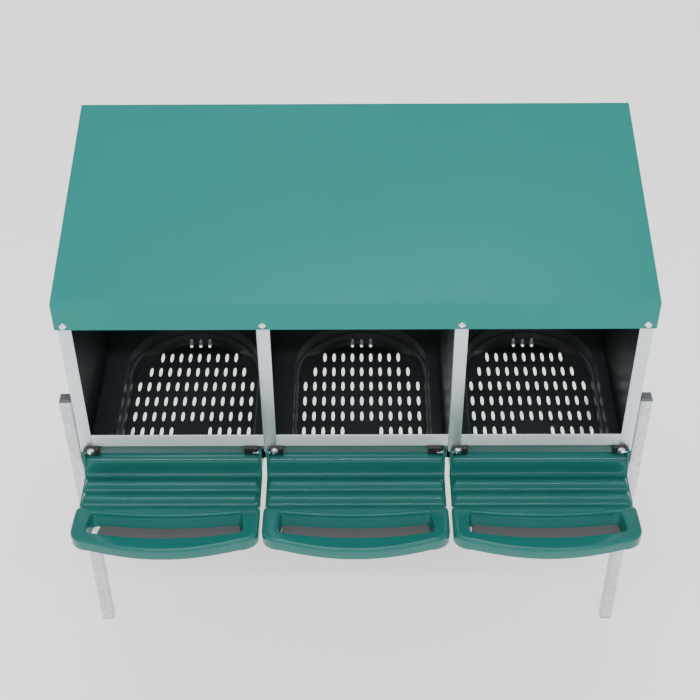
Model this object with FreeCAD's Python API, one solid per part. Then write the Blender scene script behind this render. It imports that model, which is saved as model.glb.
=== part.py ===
"""Three-compartment poultry nesting box with lift-out pans and flip-up perches.

Box coordinates while modelling: X across the front, Y into the box from the plane of the front posts,
Z up from the ground. Every node is moved along Y on export, so that the origin ends at ground level under
the middle of the whole object.
"""
import FreeCAD, Part
import math
import os

# ---- driving dimensions, millimetres -------------------------------------------------------------------
PITCH = 300.0                # spacing of the four upright panels
HALF_BOX = 1.5 * PITCH       # outer face of each side panel
BOX_DEPTH = 400.0
SHEET = 1.0                  # galvanised sheet
GROUND = 0.0

ROOF_HALF = 454.3
ROOF_FRONT_Y = -3.0
ROOF_BACK_Y = 411.0
ROOF_FRONT_Z = 766.0
ROOF_BACK_Z = 851.0
ROOF_SHEET = 1.0
FASCIA_HEIGHT = 51.0
FASCIA_HEM = 12.0            # the fascia is folded back behind itself along its foot
ROOF_SIDE_LIP = 25.0

POST_WIDTH = 21.0            # front flange of each upright panel
PANEL_FOOT_Z = 404.0         # lower edge of the panels, level with the pan ledges
LEDGE_WIDTH = 15.0
TAB_WIDTH = 9.0              # rounded tab that carries each post down past the rail
TAB_DROP = 14.0

RAIL_TOP_Z = 483.5
RAIL_STEP_Z = 459.5
RAIL_STEP = 6.0
HEM = 3.0
RAIL_NOTCH = 4.0             # half the gap in the rail's foot at each divider
SHEET_GAP = 0.3
FRONT_SHELF = 15.0           # ledges of the front and the rear rail, under the pans' margins
REAR_SHELF = 24.0
REAR_UPSTAND = 20.0
SLIT_SPARE = 1.0             # how far a slit reaches past the faces that it cuts through
CORNER_NOTCH_Y = 26.0        # the panels are cut away below the posts, around the rail
CORNER_NOTCH_Z = 446.0
BACK_PANEL_FOOT_Z = 330.0
BACK_FOLD_DEPTH = 12.0
BACK_FOLD_INSET = 25.0       # the fold stops clear of the rear legs

PAN_WIDTH = 292.0
PAN_CENTRES = {"left": -299.5, "middle": 0.5, "right": 300.0}
BASIN_CENTRES = {"left": -290.0, "middle": 10.0, "right": 310.0}   # a little right of the pan's middle
PAN_FRONT_Y = 16.0
PAN_BACK_Y = 383.0
PAN_SHEET = 2.0
PAN_CORNER = 8.0
PAN_SEAT_GAP = 0.3           # the pans lie loose on their ledges
BASIN_RADIUS = 118.0
BASIN_ARC_Y = 250.0
BASIN_FRONT_Y = 25.0
BASIN_CORNER = 22.0
BASIN_DRAFT = 2.0
BASIN_DEPTH = 52.0
SLOT_LENGTH = 24.0
SLOT_WIDTH = 7.0
SLOT_PITCH = 16.95
ROW_PITCH = 38.3
FIRST_ROW_Y = 56.4
ROW_HALF_COUNTS = (6, 6, 6, 6, 6, 6, 5, 4)   # slots on each side of the middle one, front to back
BRIDGED_ROWS = (1, 2)        # rows whose three middle slots are left out
BACK_ROW_Y = 351.0           # the last row: three short slots
BACK_ROW_LENGTH = 14.0

PERCH_CENTRES = {"left": -PITCH, "middle": 0.0, "right": PITCH}
PERCH_HALF = 146.3
PLATFORM_HALF = 147.7
PERCH_WALL = 3.0
PERCH_SKIRT_Z = 400.5
PLATFORM_BACK_Y = -99.0
PLATFORM_FRONT_Y = -196.0
PLATFORM_BOW = 13.0          # how far the middle of the front edge stands out past its ends
PLATFORM_CORNER = 30.0
PLATFORM_BACK_Z = 421.3
PLATFORM_RISE = 0.105        # rise of the platform per unit towards the front
PLATFORM_DEPTH = 21.0
GRIP_HALF = 125.0
GRIP_BACK_Y = -110.5
GRIP_FRONT_Y = -155.0
GRIP_BACK_SAG = 8.8
GRIP_FRONT_SAG = 13.0
TREAD_INSET = 8.0
TREAD_THICKNESS = 3.0

PIVOT_Y = -5.0
PIVOT_Z = 450.0
PIN_RADIUS = 2.0
PIN_CLEARANCE = 0.05
PIN_IN_BLOCK = 8.0
EAR_INNER = 141.0
EAR_THICKNESS = 5.0
EAR_RADIUS = 4.5
STOP_BACK_Y = 6.7            # heel under each ear that rests against the rail when the perch is down
BLOCK_OUTER = 140.0
BLOCK_WIDTH = 22.0
BLOCK_FRONT_Y = -8.0
BLOCK_FOOT_Z = 446.0
BLOCK_TOP_Z = 461.0
BLOCK_FIT = 0.2              # gap between the block and the sill above its rear half

LEG_SIDE = 20.0
LEG_WALL = 1.2
LEG_TOP_Z = 558.5
LEG_BOLT_HEIGHTS = (470.0, 532.0)
PLUG_RIM = 2.0
CAP_HEIGHT = 4.5
CAP_CHAMFER = 2.2
PLUG_BODY = 14.0

RAIL_BOLT_X = (-431.0, -132.0, 166.0, 431.0)
RAIL_BOLT_Z = 455.8
BOLT_RADIUS = 2.2
BOLT_END = 5.0               # length of shank in and past the nut
RAIL_BOLT_HEAD = (6.6, 4.0)  # radius and height of each domed head
RAIL_NUT = (8.0, 4.0)        # width across flats and height of each nut
LEG_BOLT_RADIUS = 3.0
LEG_BOLT_END = 6.0
LEG_BOLT_HEAD = (6.5, 3.5)
LEG_NUT = (10.0, 5.0)
SCREW_RADIUS = 2.0
SCREW_HEAD = (6.0, 2.6)
FRONT_SCREW_LENGTH = 10.0
REAR_SCREW_LENGTH = 18.0
FRONT_SCREW_RISE = 7.5       # above the fascia's foot
REAR_SCREW_RISE = 9.0        # above the rear lip's foot
RECESS_ARM = 5.0
RECESS_WIDTH = 1.4
RECESS_CUT = 2.0
RIVET_HEAD = (4.0, 1.4)
RIVET_LENGTH = 3.5
RIVET_X = (-400.0, -200.0, 0.0, 200.0, 400.0)
RIVET_RISE = 12.0            # above the rear rail's shelf
HOLE_CLEARANCE = 0.05

SIDES = {"left": -1, "right": 1}
X_AXIS = FreeCAD.Vector(1, 0, 0)
Y_AXIS = FreeCAD.Vector(0, 1, 0)
Z_AXIS = FreeCAD.Vector(0, 0, 1)


def vec(x, y, z):
    return FreeCAD.Vector(x, y, z)


def box(x0, x1, y0, y1, z0, z1):
    """Block between opposite corners, given in either order along each axis."""
    low = vec(min(x0, x1), min(y0, y1), min(z0, z1))
    return Part.makeBox(abs(x1 - x0), abs(y1 - y0), abs(z1 - z0), low)


def rod(start, direction, radius, length):
    return Part.makeCylinder(radius, length, start, direction)


def fuse(shapes):
    first, rest = shapes[0], shapes[1:]
    return first.fuse(rest).removeSplitter() if rest else first


def prism_x(points_yz, x0, x1):
    """Closed outline in the YZ plane, extruded from x0 to x1."""
    wire = Part.makePolygon([vec(x0, y, z) for y, z in points_yz + points_yz[:1]])
    return Part.Face(wire).extrude(vec(x1 - x0, 0, 0))


def roof_z(y):
    """Height of the roof's upper face at depth y."""
    slope = (ROOF_BACK_Z - ROOF_FRONT_Z) / (ROOF_BACK_Y - ROOF_FRONT_Y)
    return ROOF_FRONT_Z + (y - ROOF_FRONT_Y) * slope


def post_x(index):
    """Outer edge of post 0 to 3, counted from the left."""
    return -HALF_BOX + index * PITCH


def screw_x(index):
    """Middle of the post's flange: the last panel is folded the other way."""
    inward = 1 if index < 3 else -1
    return post_x(index) + inward * POST_WIDTH / 2


# ---- sheet-metal body ---------------------------------------------------------------------------------
def roof_cover():
    """Sloping sheet folded down all round: deep hemmed fascia in front, shallow lips elsewhere."""
    foot = ROOF_FRONT_Z - FASCIA_HEIGHT
    front, back = ROOF_FRONT_Y, ROOF_BACK_Y
    outline = [
        (front, foot),
        (front, roof_z(front)),
        (back, roof_z(back)),
        (back, roof_z(back) - ROOF_SIDE_LIP),
        (front + ROOF_SIDE_LIP, roof_z(front + ROOF_SIDE_LIP) - ROOF_SIDE_LIP),
        (front + ROOF_SIDE_LIP / 3, foot),
    ]
    shell = prism_x(outline, -ROOF_HALF, ROOF_HALF)
    inner_front, inner_back = front + ROOF_SHEET, back - ROOF_SHEET
    hollow_outline = [
        (inner_front, foot - 5),
        (inner_front, roof_z(inner_front) - ROOF_SHEET),
        (inner_back, roof_z(inner_back) - ROOF_SHEET),
        (inner_back, foot - 5),
    ]
    inner_half = ROOF_HALF - ROOF_SHEET
    hem = box(-inner_half, inner_half, front, 0, foot, foot + FASCIA_HEM)
    cover = shell.cut(prism_x(hollow_outline, -inner_half, inner_half)).fuse(hem).removeSplitter()
    for index in range(4):
        start = vec(screw_x(index), -10, front_screw_z())
        cover = cover.cut(rod(start, Y_AXIS, SCREW_RADIUS + HOLE_CLEARANCE, 15))
        start = vec(screw_x(index), BOX_DEPTH + 5, rear_screw_z())
        cover = cover.cut(rod(start, Y_AXIS, SCREW_RADIUS + HOLE_CLEARANCE, 15))
    return cover


def front_screw_z():
    return ROOF_FRONT_Z - FASCIA_HEIGHT + FRONT_SCREW_RISE


def rear_screw_z():
    return roof_z(ROOF_BACK_Y) - ROOF_SIDE_LIP + REAR_SCREW_RISE


def upright_panel(index):
    """Web with a front flange and pan ledges; a tab carries the flange down in front of the rail."""
    inward = 1 if index < 3 else -1
    divider = index in (1, 2)
    outer = post_x(index)
    top_front, top_back = (roof_z(y) - ROOF_SHEET - SHEET_GAP for y in (0, BOX_DEPTH - SHEET))
    web_outline = [
        (0, CORNER_NOTCH_Z),
        (0, top_front),
        (BOX_DEPTH - SHEET, top_back),
        (BOX_DEPTH - SHEET, PANEL_FOOT_Z),
        (CORNER_NOTCH_Y, PANEL_FOOT_Z),
        (CORNER_NOTCH_Y, CORNER_NOTCH_Z),
    ]
    web = prism_x(web_outline, outer, outer + inward * SHEET)
    tab_low = RAIL_STEP_Z - TAB_DROP + TAB_WIDTH / 2
    flange = box(outer, outer + inward * POST_WIDTH, 0, SHEET, RAIL_STEP_Z, top_front)
    tab = box(outer, outer + inward * TAB_WIDTH, 0, SHEET, tab_low, RAIL_STEP_Z)
    tab_end = rod(vec(outer + inward * TAB_WIDTH / 2, 0, tab_low), Y_AXIS, TAB_WIDTH / 2, SHEET)
    reach = outer + inward * (LEDGE_WIDTH + SHEET)
    far_side = outer - inward * LEDGE_WIDTH if divider else outer
    ledge = box(far_side, reach, CORNER_NOTCH_Y, BOX_DEPTH - SHEET - REAR_SHELF - SHEET_GAP,
                PANEL_FOOT_Z, PANEL_FOOT_Z + SHEET)
    panel = fuse([web, flange, tab, tab_end, ledge])
    if divider:
        rail_back = 2 * SHEET + RAIL_STEP + SHEET_GAP
        rear = BOX_DEPTH - SHEET
        left, right = outer - SLIT_SPARE, outer + SHEET + SLIT_SPARE
        foot = PANEL_FOOT_Z - SLIT_SPARE
        shelf_front = rear - REAR_SHELF - SHEET_GAP
        upstand_front = rear - SHEET - SHEET_GAP
        rail_slit = box(left, right, SHEET, rail_back, PANEL_FOOT_Z, RAIL_TOP_Z + SHEET_GAP)
        shelf_slit = box(left, right, shelf_front, rear, foot, PANEL_FOOT_Z + SHEET + SHEET_GAP)
        upstand_slit = box(left, right, upstand_front, rear, foot, PANEL_FOOT_Z + REAR_UPSTAND + SHEET_GAP)
        panel = panel.cut(rail_slit).cut(shelf_slit).cut(upstand_slit)
    screw_seat = vec(screw_x(index), -5, front_screw_z())
    panel = panel.cut(rod(screw_seat, Y_AXIS, SCREW_RADIUS + HOLE_CLEARANCE, 10))
    if not divider:
        for y in leg_depths():
            for z in LEG_BOLT_HEIGHTS:
                panel = panel.cut(rod(vec(outer - 10, y, z), X_AXIS, LEG_BOLT_RADIUS + HOLE_CLEARANCE, 20))
    return panel


def back_panel():
    """Flat sheet behind the panels, with a folded lower edge."""
    top = roof_z(BOX_DEPTH) - ROOF_SHEET - SHEET_GAP
    foot = BACK_PANEL_FOOT_Z
    fold_half = HALF_BOX - BACK_FOLD_INSET
    sheet = box(-HALF_BOX, HALF_BOX, BOX_DEPTH - SHEET, BOX_DEPTH, foot, top)
    fold = box(-fold_half, fold_half, BOX_DEPTH - BACK_FOLD_DEPTH, BOX_DEPTH, foot, foot + SHEET)
    panel = fuse([sheet, fold])
    for index in range(4):
        start = vec(screw_x(index), BOX_DEPTH - 5, rear_screw_z())
        panel = panel.cut(rod(start, Y_AXIS, SCREW_RADIUS + HOLE_CLEARANCE, 10))
    for x, z in back_rivet_places():
        panel = panel.cut(rod(vec(x, BOX_DEPTH - 5, z), Y_AXIS, SCREW_RADIUS + HOLE_CLEARANCE, 10))
    return panel


def front_rail():
    """Sill: hemmed top, plate, step back under the posts, and a shelf for the pans' front margins."""
    inner = HALF_BOX - SHEET
    deep = SHEET + RAIL_STEP
    plate = box(-inner, inner, SHEET, 2 * SHEET, RAIL_STEP_Z - SHEET, RAIL_TOP_Z)
    hem = box(-inner, inner, SHEET, 3 * SHEET, RAIL_TOP_Z - HEM, RAIL_TOP_Z)
    step = box(-inner, inner, SHEET, deep + SHEET, RAIL_STEP_Z - SHEET, RAIL_STEP_Z)
    leg = box(-inner, inner, deep, deep + SHEET, PANEL_FOOT_Z, RAIL_STEP_Z)
    shelf = box(-inner, inner, deep, deep + FRONT_SHELF, PANEL_FOOT_Z, PANEL_FOOT_Z + SHEET)
    rail = fuse([plate, hem, step, leg, shelf])
    for index in (1, 2):
        middle = post_x(index)
        rail = rail.cut(box(middle - RAIL_NOTCH, middle + RAIL_NOTCH, deep - SLIT_SPARE, CORNER_NOTCH_Y,
                            PANEL_FOOT_Z - SLIT_SPARE, CORNER_NOTCH_Z))
    for x in RAIL_BOLT_X:
        rail = rail.cut(rod(vec(x, 0, RAIL_BOLT_Z), Y_AXIS, BOLT_RADIUS + HOLE_CLEARANCE, 15))
    return rail


def rear_rail():
    """Angle along the back panel that carries the pans' rear margins."""
    inner = HALF_BOX - SHEET
    back = BOX_DEPTH - SHEET
    shelf = box(-inner, inner, back - REAR_SHELF, back, PANEL_FOOT_Z, PANEL_FOOT_Z + SHEET)
    upstand = box(-inner, inner, back - SHEET, back, PANEL_FOOT_Z, PANEL_FOOT_Z + REAR_UPSTAND)
    rail = fuse([shelf, upstand])
    for x, z in back_rivet_places():
        rail = rail.cut(rod(vec(x, back - 5, z), Y_AXIS, SCREW_RADIUS + HOLE_CLEARANCE, 10))
    return rail


def back_rivet_places():
    return [(x, PANEL_FOOT_Z + RIVET_RISE) for x in RIVET_X]


# ---- nest pans ----------------------------------------------------------------------------------------
def basin_outline(centre_x, inset, z):
    """Horseshoe: half circle at the back, straight sides, rounded front corners."""
    radius = BASIN_RADIUS - inset
    corner = BASIN_CORNER - inset / 2
    front = BASIN_FRONT_Y + inset
    left, right = centre_x - radius, centre_x + radius
    bulge = corner * (1 - math.sqrt(0.5))
    edges = [
        Part.Arc(vec(right, BASIN_ARC_Y, z), vec(centre_x, BASIN_ARC_Y + radius, z),
                 vec(left, BASIN_ARC_Y, z)),
        Part.LineSegment(vec(left, BASIN_ARC_Y, z), vec(left, front + corner, z)),
        Part.Arc(vec(left, front + corner, z), vec(left + bulge, front + bulge, z),
                 vec(left + corner, front, z)),
        Part.LineSegment(vec(left + corner, front, z), vec(right - corner, front, z)),
        Part.Arc(vec(right - corner, front, z), vec(right - bulge, front + bulge, z),
                 vec(right, front + corner, z)),
        Part.LineSegment(vec(right, front + corner, z), vec(right, BASIN_ARC_Y, z)),
    ]
    return Part.Wire([edge.toShape() for edge in edges])


def slot_places():
    """Middle and length of every floor slot, measured from the basin's middle line."""
    places = []
    for row, count in enumerate(ROW_HALF_COUNTS):
        for column in range(-count, count + 1):
            if row not in BRIDGED_ROWS or abs(column) > 1:
                places.append((column * SLOT_PITCH, FIRST_ROW_Y + row * ROW_PITCH, SLOT_LENGTH))
    places += [(column * SLOT_PITCH, BACK_ROW_Y, BACK_ROW_LENGTH) for column in (-1, 0, 1)]
    return places


def nest_pan(centre_x, basin_x):
    """Flat margin with a horseshoe basin whose floor is pierced by rows of long slots."""
    top = PANEL_FOOT_Z + SHEET + PAN_SEAT_GAP + PAN_SHEET
    half = PAN_WIDTH / 2
    margin = box(centre_x - half, centre_x + half, PAN_FRONT_Y, PAN_BACK_Y, top - PAN_SHEET, top)
    corners = [edge for edge in margin.Edges if abs(edge.tangentAt(edge.FirstParameter).z) > 0.9]
    margin = margin.makeFillet(PAN_CORNER, corners)
    floor_z = top - BASIN_DEPTH
    outer_foot = basin_outline(basin_x, BASIN_DRAFT, floor_z - PAN_SHEET)
    inner_foot = basin_outline(basin_x, BASIN_DRAFT + PAN_SHEET, floor_z)
    outside = Part.makeLoft([basin_outline(basin_x, 0, top), outer_foot], True)
    inside = Part.makeLoft([basin_outline(basin_x, PAN_SHEET, top + 1), inner_foot], True)
    pan = margin.fuse(outside).cut(inside)
    cutters = []
    for x, y, length in slot_places():
        straight = (length - SLOT_WIDTH) / 2
        middle = basin_x + x
        low = floor_z - 5
        left, right = middle - SLOT_WIDTH / 2, middle + SLOT_WIDTH / 2
        body = box(left, right, y - straight, y + straight, low, floor_z + 1)
        ends = [rod(vec(middle, y + end * straight, low), Z_AXIS, SLOT_WIDTH / 2, 6) for end in (-1, 1)]
        cutters.append(body.fuse(ends).removeSplitter())
    return pan.cut(Part.makeCompound(cutters))


# ---- perches ------------------------------------------------------------------------------------------
def wave_profile():
    """Upper line of the perch from its back edge to the platform: one tall wave, then two low ridges."""
    return [
        (-1, 440), (-7, 438.5), (-12, 434.5), (-15, 430), (-15.5, 418), (-17.5, 411.5), (-23, 410.5),
        (-31, 414), (-38, 418.5), (-42, 420), (-46, 418.5), (-50, 412.5), (-53, 410.5),
        (-61, 414), (-69, 418.5), (-73, 420), (-77, 418.5), (-81, 412.5), (-85, 410.5),
        (-93, 415.5), (-100, 421),
    ]


def platform_frame(shape):
    """Tips a shape built flat, with its upper face at zero, onto the platform's slope."""
    angle = -math.degrees(math.atan(PLATFORM_RISE))
    shape.rotate(vec(0, PLATFORM_BACK_Y, 0), X_AXIS, angle)
    shape.translate(vec(0, 0, PLATFORM_BACK_Z))
    return shape


def platform_outline(centre_x, inset, z):
    """Straight back and sides, rounded corners and a bowed front edge."""
    half = PLATFORM_HALF - inset
    back = PLATFORM_BACK_Y - inset
    ends = PLATFORM_FRONT_Y + PLATFORM_BOW + inset
    middle = PLATFORM_FRONT_Y + inset
    corner = PLATFORM_CORNER - inset
    left, right = centre_x - half, centre_x + half
    side_mid = corner * (1 - math.sqrt(0.5))
    edges = [
        Part.LineSegment(vec(left, back, z), vec(left, ends + corner, z)),
        Part.Arc(vec(left, ends + corner, z), vec(left + side_mid, ends + side_mid * 0.9, z),
                 vec(left + corner, ends - 4, z)),
        Part.Arc(vec(left + corner, ends - 4, z), vec(centre_x, middle, z), vec(right - corner, ends - 4, z)),
        Part.Arc(vec(right - corner, ends - 4, z), vec(right - side_mid, ends + side_mid * 0.9, z),
                 vec(right, ends + corner, z)),
        Part.LineSegment(vec(right, ends + corner, z), vec(right, back, z)),
        Part.LineSegment(vec(right, back, z), vec(left, back, z)),
    ]
    return Part.Wire([edge.toShape() for edge in edges])


def grip_outline(centre_x, inset, z):
    """Smile-shaped slot: two parallel sagging arcs with rounded ends."""
    half = GRIP_HALF - inset
    back, front = GRIP_BACK_Y - inset, GRIP_FRONT_Y + inset
    mid = (back + front) / 2
    reach = (back - front) / 2
    left, right = centre_x - half + reach, centre_x + half - reach
    edges = [
        Part.Arc(vec(left, back, z), vec(centre_x, back - GRIP_BACK_SAG, z), vec(right, back, z)),
        Part.Arc(vec(right, back, z), vec(right + reach, mid, z), vec(right, front, z)),
        Part.Arc(vec(right, front, z), vec(centre_x, front - GRIP_FRONT_SAG, z), vec(left, front, z)),
        Part.Arc(vec(left, front, z), vec(left - reach, mid, z), vec(left, back, z)),
    ]
    return Part.Wire([edge.toShape() for edge in edges])


def slab(wire, height):
    return Part.Face(wire).extrude(vec(0, 0, height))


def perch(centre_x):
    """Moulded shell: waved skin with side skirts, hollow platform with a walled grip slot, hinge ears."""
    left, right = centre_x - PERCH_HALF, centre_x + PERCH_HALF
    line = wave_profile()
    under = [(y, z - PERCH_WALL) for y, z in reversed(line)]
    skin = prism_x(line + under, left, right)
    skirt_line = line + [(PLATFORM_BACK_Y - 1, PERCH_SKIRT_Z), (-5, PERCH_SKIRT_Z)]
    left_skirt = prism_x(skirt_line, left, left + PERCH_WALL)
    right_skirt = prism_x(skirt_line, right - PERCH_WALL, right)
    outer = slab(platform_outline(centre_x, 0, -PLATFORM_DEPTH), PLATFORM_DEPTH)
    inner = slab(platform_outline(centre_x, PERCH_WALL, -PLATFORM_DEPTH - 1), PLATFORM_DEPTH + 1 - PERCH_WALL)
    ring = slab(grip_outline(centre_x, -PERCH_WALL, -PLATFORM_DEPTH), PLATFORM_DEPTH - 1)
    hole = slab(grip_outline(centre_x, 0, -PLATFORM_DEPTH - 5), PLATFORM_DEPTH + 10)
    platform = platform_frame(outer.cut(inner).fuse(ring).cut(hole))
    ears = []
    for side in (-1, 1):
        inner_x = centre_x + side * EAR_INNER
        outer_x = inner_x + side * EAR_THICKNESS
        head = rod(vec(inner_x, PIVOT_Y, PIVOT_Z), X_AXIS * side, EAR_RADIUS, EAR_THICKNESS)
        stem_outline = [
            (PIVOT_Y + EAR_RADIUS, PIVOT_Z),
            (PIVOT_Y - EAR_RADIUS, PIVOT_Z),
            (-13, 433),
            (-14, 412),
            (STOP_BACK_Y, 412),
            (STOP_BACK_Y, 424),
            (-1, 438),
        ]
        ears += [head, prism_x(stem_outline, inner_x, outer_x)]
    body = fuse([skin, left_skirt, right_skirt, platform] + ears)
    for side in (-1, 1):
        start = vec(centre_x + side * (EAR_INNER - 1), PIVOT_Y, PIVOT_Z)
        body = body.cut(rod(start, X_AXIS * side, PIN_RADIUS + PIN_CLEARANCE, EAR_THICKNESS + 2))
    return body


def tread_strip(centre_x):
    """Dark strip across the foot of the slot, a little shorter than the slot."""
    wire = grip_outline(centre_x, 0.0, -PLATFORM_DEPTH)
    full = slab(wire, TREAD_THICKNESS)
    half = GRIP_HALF - TREAD_INSET
    reach = (GRIP_BACK_Y - GRIP_FRONT_Y) / 2
    keep = box(centre_x - half + reach, centre_x + half - reach, -400, 0, -40, 5)
    for side in (-1, 1):
        end = vec(centre_x + side * (half - reach), (GRIP_BACK_Y + GRIP_FRONT_Y) / 2, -40)
        keep = keep.fuse(rod(end, Z_AXIS, reach, 45))
    return platform_frame(full.common(keep))


def hinge_block(centre_x, side):
    """Black block hooked under the sill; it holds one hinge pin and, at the posts, a bolt."""
    outer = centre_x + side * BLOCK_OUTER
    inner = centre_x + side * (BLOCK_OUTER - BLOCK_WIDTH)
    face = box(inner, outer, BLOCK_FRONT_Y, SHEET - BLOCK_FIT, BLOCK_FOOT_Z, BLOCK_TOP_Z)
    front_edges = [edge for edge in face.Edges
                   if abs(edge.tangentAt(edge.FirstParameter).x) > 0.9 and edge.CenterOfMass.y < BLOCK_FRONT_Y + 1]
    face = face.makeFillet(0.8, front_edges)
    heel_top = RAIL_STEP_Z - SHEET - BLOCK_FIT
    heel = box(inner, outer, -1, SHEET + RAIL_STEP, BLOCK_FOOT_Z, heel_top)
    relief = box(inner, outer, -BLOCK_FIT, 2, heel_top, BLOCK_TOP_Z + 1)
    block = fuse([face.cut(relief), heel])
    pin_start = vec(outer + side, PIVOT_Y, PIVOT_Z)
    block = block.cut(rod(pin_start, X_AXIS * -side, PIN_RADIUS, PIN_IN_BLOCK + 1))
    for x in RAIL_BOLT_X:
        if min(inner, outer) < x < max(inner, outer):
            block = block.cut(rod(vec(x, -20, RAIL_BOLT_Z), Y_AXIS, BOLT_RADIUS + HOLE_CLEARANCE, 40))
    return block


def hinge_pins():
    """Six steel pins, each pressed into its block and passing through the perch's ear."""
    pins = []
    length = PIN_IN_BLOCK + EAR_INNER - BLOCK_OUTER + EAR_THICKNESS
    for centre_x in PERCH_CENTRES.values():
        for side in (-1, 1):
            start = vec(centre_x + side * (BLOCK_OUTER - PIN_IN_BLOCK), PIVOT_Y, PIVOT_Z)
            pins.append(rod(start, X_AXIS * side, PIN_RADIUS, length))
    return Part.makeCompound(pins)


# ---- legs ---------------------------------------------------------------------------------------------
def leg_depths():
    """Middle of the front and the rear legs along Y."""
    return (LEG_SIDE / 2, BOX_DEPTH - LEG_SIDE / 2)


def leg_middle_x(side):
    return side * (HALF_BOX + LEG_SIDE / 2)


def leg(side, y):
    x = leg_middle_x(side)
    half = LEG_SIDE / 2
    tube = box(x - half, x + half, y - half, y + half, PLUG_RIM, LEG_TOP_Z)
    upright = [edge for edge in tube.Edges if abs(edge.tangentAt(edge.FirstParameter).z) > 0.9]
    tube = tube.makeFillet(2.0, upright)
    inner = half - LEG_WALL
    tube = tube.cut(box(x - inner, x + inner, y - inner, y + inner, 0, LEG_TOP_Z + 5))
    for z in LEG_BOLT_HEIGHTS:
        tube = tube.cut(rod(vec(x - 20, y, z), X_AXIS, LEG_BOLT_RADIUS + HOLE_CLEARANCE, 40))
    return tube


def leg_end(side, y, top):
    """Square plug with a rim as wide as the tube: chamfered on top of a leg, thin under it."""
    x = leg_middle_x(side)
    half = LEG_SIDE / 2
    inner = half - LEG_WALL
    if top:
        rim = box(x - half, x + half, y - half, y + half, LEG_TOP_Z, LEG_TOP_Z + CAP_HEIGHT)
        upper = [edge for edge in rim.Edges if edge.CenterOfMass.z > LEG_TOP_Z + CAP_HEIGHT - 0.01]
        rim = rim.makeChamfer(CAP_CHAMFER, upper)
        body = box(x - inner, x + inner, y - inner, y + inner, LEG_TOP_Z - PLUG_BODY, LEG_TOP_Z)
    else:
        rim = box(x - half, x + half, y - half, y + half, GROUND, PLUG_RIM)
        body = box(x - inner, x + inner, y - inner, y + inner, PLUG_RIM, PLUG_RIM + PLUG_BODY)
    return fuse([rim, body])


# ---- fasteners ----------------------------------------------------------------------------------------
def dome(centre, direction, radius, height):
    """Cap of a sphere standing on its flat side."""
    sphere_radius = (radius * radius + height * height) / (2 * height)
    ball = Part.makeSphere(sphere_radius, centre + direction * (height - sphere_radius))
    return ball.common(rod(centre, direction, radius + 1, height + 1))


def hexagon_nut(centre, direction, across_flats, height, bore):
    """Nut that stands on centre and reaches along direction."""
    corner = across_flats / math.sqrt(3)
    points = [vec(corner * math.cos(math.radians(60 * k)), corner * math.sin(math.radians(60 * k)), 0)
              for k in range(7)]
    nut = Part.Face(Part.makePolygon(points)).extrude(vec(0, 0, height))
    nut = nut.cut(rod(vec(0, 0, -1), Z_AXIS, bore, height + 2))
    nut.Placement = FreeCAD.Placement(centre, FreeCAD.Rotation(Z_AXIS, direction))
    return nut


def rail_bolts():
    length = 2 * SHEET + RAIL_STEP - BLOCK_FRONT_Y + BOLT_END
    bolts = []
    for x in RAIL_BOLT_X:
        seat = vec(x, BLOCK_FRONT_Y, RAIL_BOLT_Z)
        head = dome(seat, Y_AXIS * -1, *RAIL_BOLT_HEAD)
        bolts.append(head.fuse(rod(seat, Y_AXIS, BOLT_RADIUS, length)))
    return Part.makeCompound(bolts)


def rail_nuts():
    y = 2 * SHEET + RAIL_STEP
    bore = BOLT_RADIUS + HOLE_CLEARANCE
    seats = [vec(x, y, RAIL_BOLT_Z) for x in RAIL_BOLT_X]
    return Part.makeCompound([hexagon_nut(seat, Y_AXIS, *RAIL_NUT, bore) for seat in seats])


def leg_bolts():
    length = LEG_SIDE + SHEET + LEG_BOLT_END
    bolts = []
    for side in SIDES.values():
        for y in leg_depths():
            for z in LEG_BOLT_HEIGHTS:
                seat = vec(side * (HALF_BOX + LEG_SIDE), y, z)
                head = dome(seat, X_AXIS * side, *LEG_BOLT_HEAD)
                bolts.append(head.fuse(rod(seat, X_AXIS * -side, LEG_BOLT_RADIUS, length)))
    return Part.makeCompound(bolts)


def leg_nuts():
    nuts = []
    for side in SIDES.values():
        for y in leg_depths():
            for z in LEG_BOLT_HEIGHTS:
                seat = vec(side * (HALF_BOX - SHEET), y, z)
                nuts.append(hexagon_nut(seat, X_AXIS * -side, *LEG_NUT, LEG_BOLT_RADIUS + HOLE_CLEARANCE))
    return Part.makeCompound(nuts)


def cross_recess(seat, direction):
    """Cross cut into a screw head from its crown."""
    arms = []
    for width, height in ((RECESS_ARM, RECESS_WIDTH), (RECESS_WIDTH, RECESS_ARM)):
        arms.append(box(seat.x - width / 2, seat.x + width / 2, seat.y, seat.y + direction.y * RECESS_CUT,
                        seat.z - height / 2, seat.z + height / 2))
    return arms[0].fuse(arms[1])


def roof_screws(front):
    """Pan-head screws with a cross recess through the roof's front fascia or its rear lip."""
    screws = []
    for index in range(4):
        if front:
            seat = vec(screw_x(index), ROOF_FRONT_Y, front_screw_z())
            outward, length = Y_AXIS * -1, FRONT_SCREW_LENGTH
        else:
            seat = vec(screw_x(index), ROOF_BACK_Y, rear_screw_z())
            outward, length = Y_AXIS, REAR_SCREW_LENGTH
        head = dome(seat, outward, *SCREW_HEAD)
        crown = seat + outward * (SCREW_HEAD[1] + 0.5)
        head = head.cut(cross_recess(crown, outward * -1))
        screws.append(head.fuse(rod(seat, outward * -1, SCREW_RADIUS, length)))
    return Part.makeCompound(screws)


def back_rivets():
    rivets = []
    for x, z in back_rivet_places():
        seat = vec(x, BOX_DEPTH, z)
        shank = rod(seat, Y_AXIS * -1, SCREW_RADIUS, RIVET_LENGTH)
        rivets.append(dome(seat, Y_AXIS, *RIVET_HEAD).fuse(shank))
    return Part.makeCompound(rivets)


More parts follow.
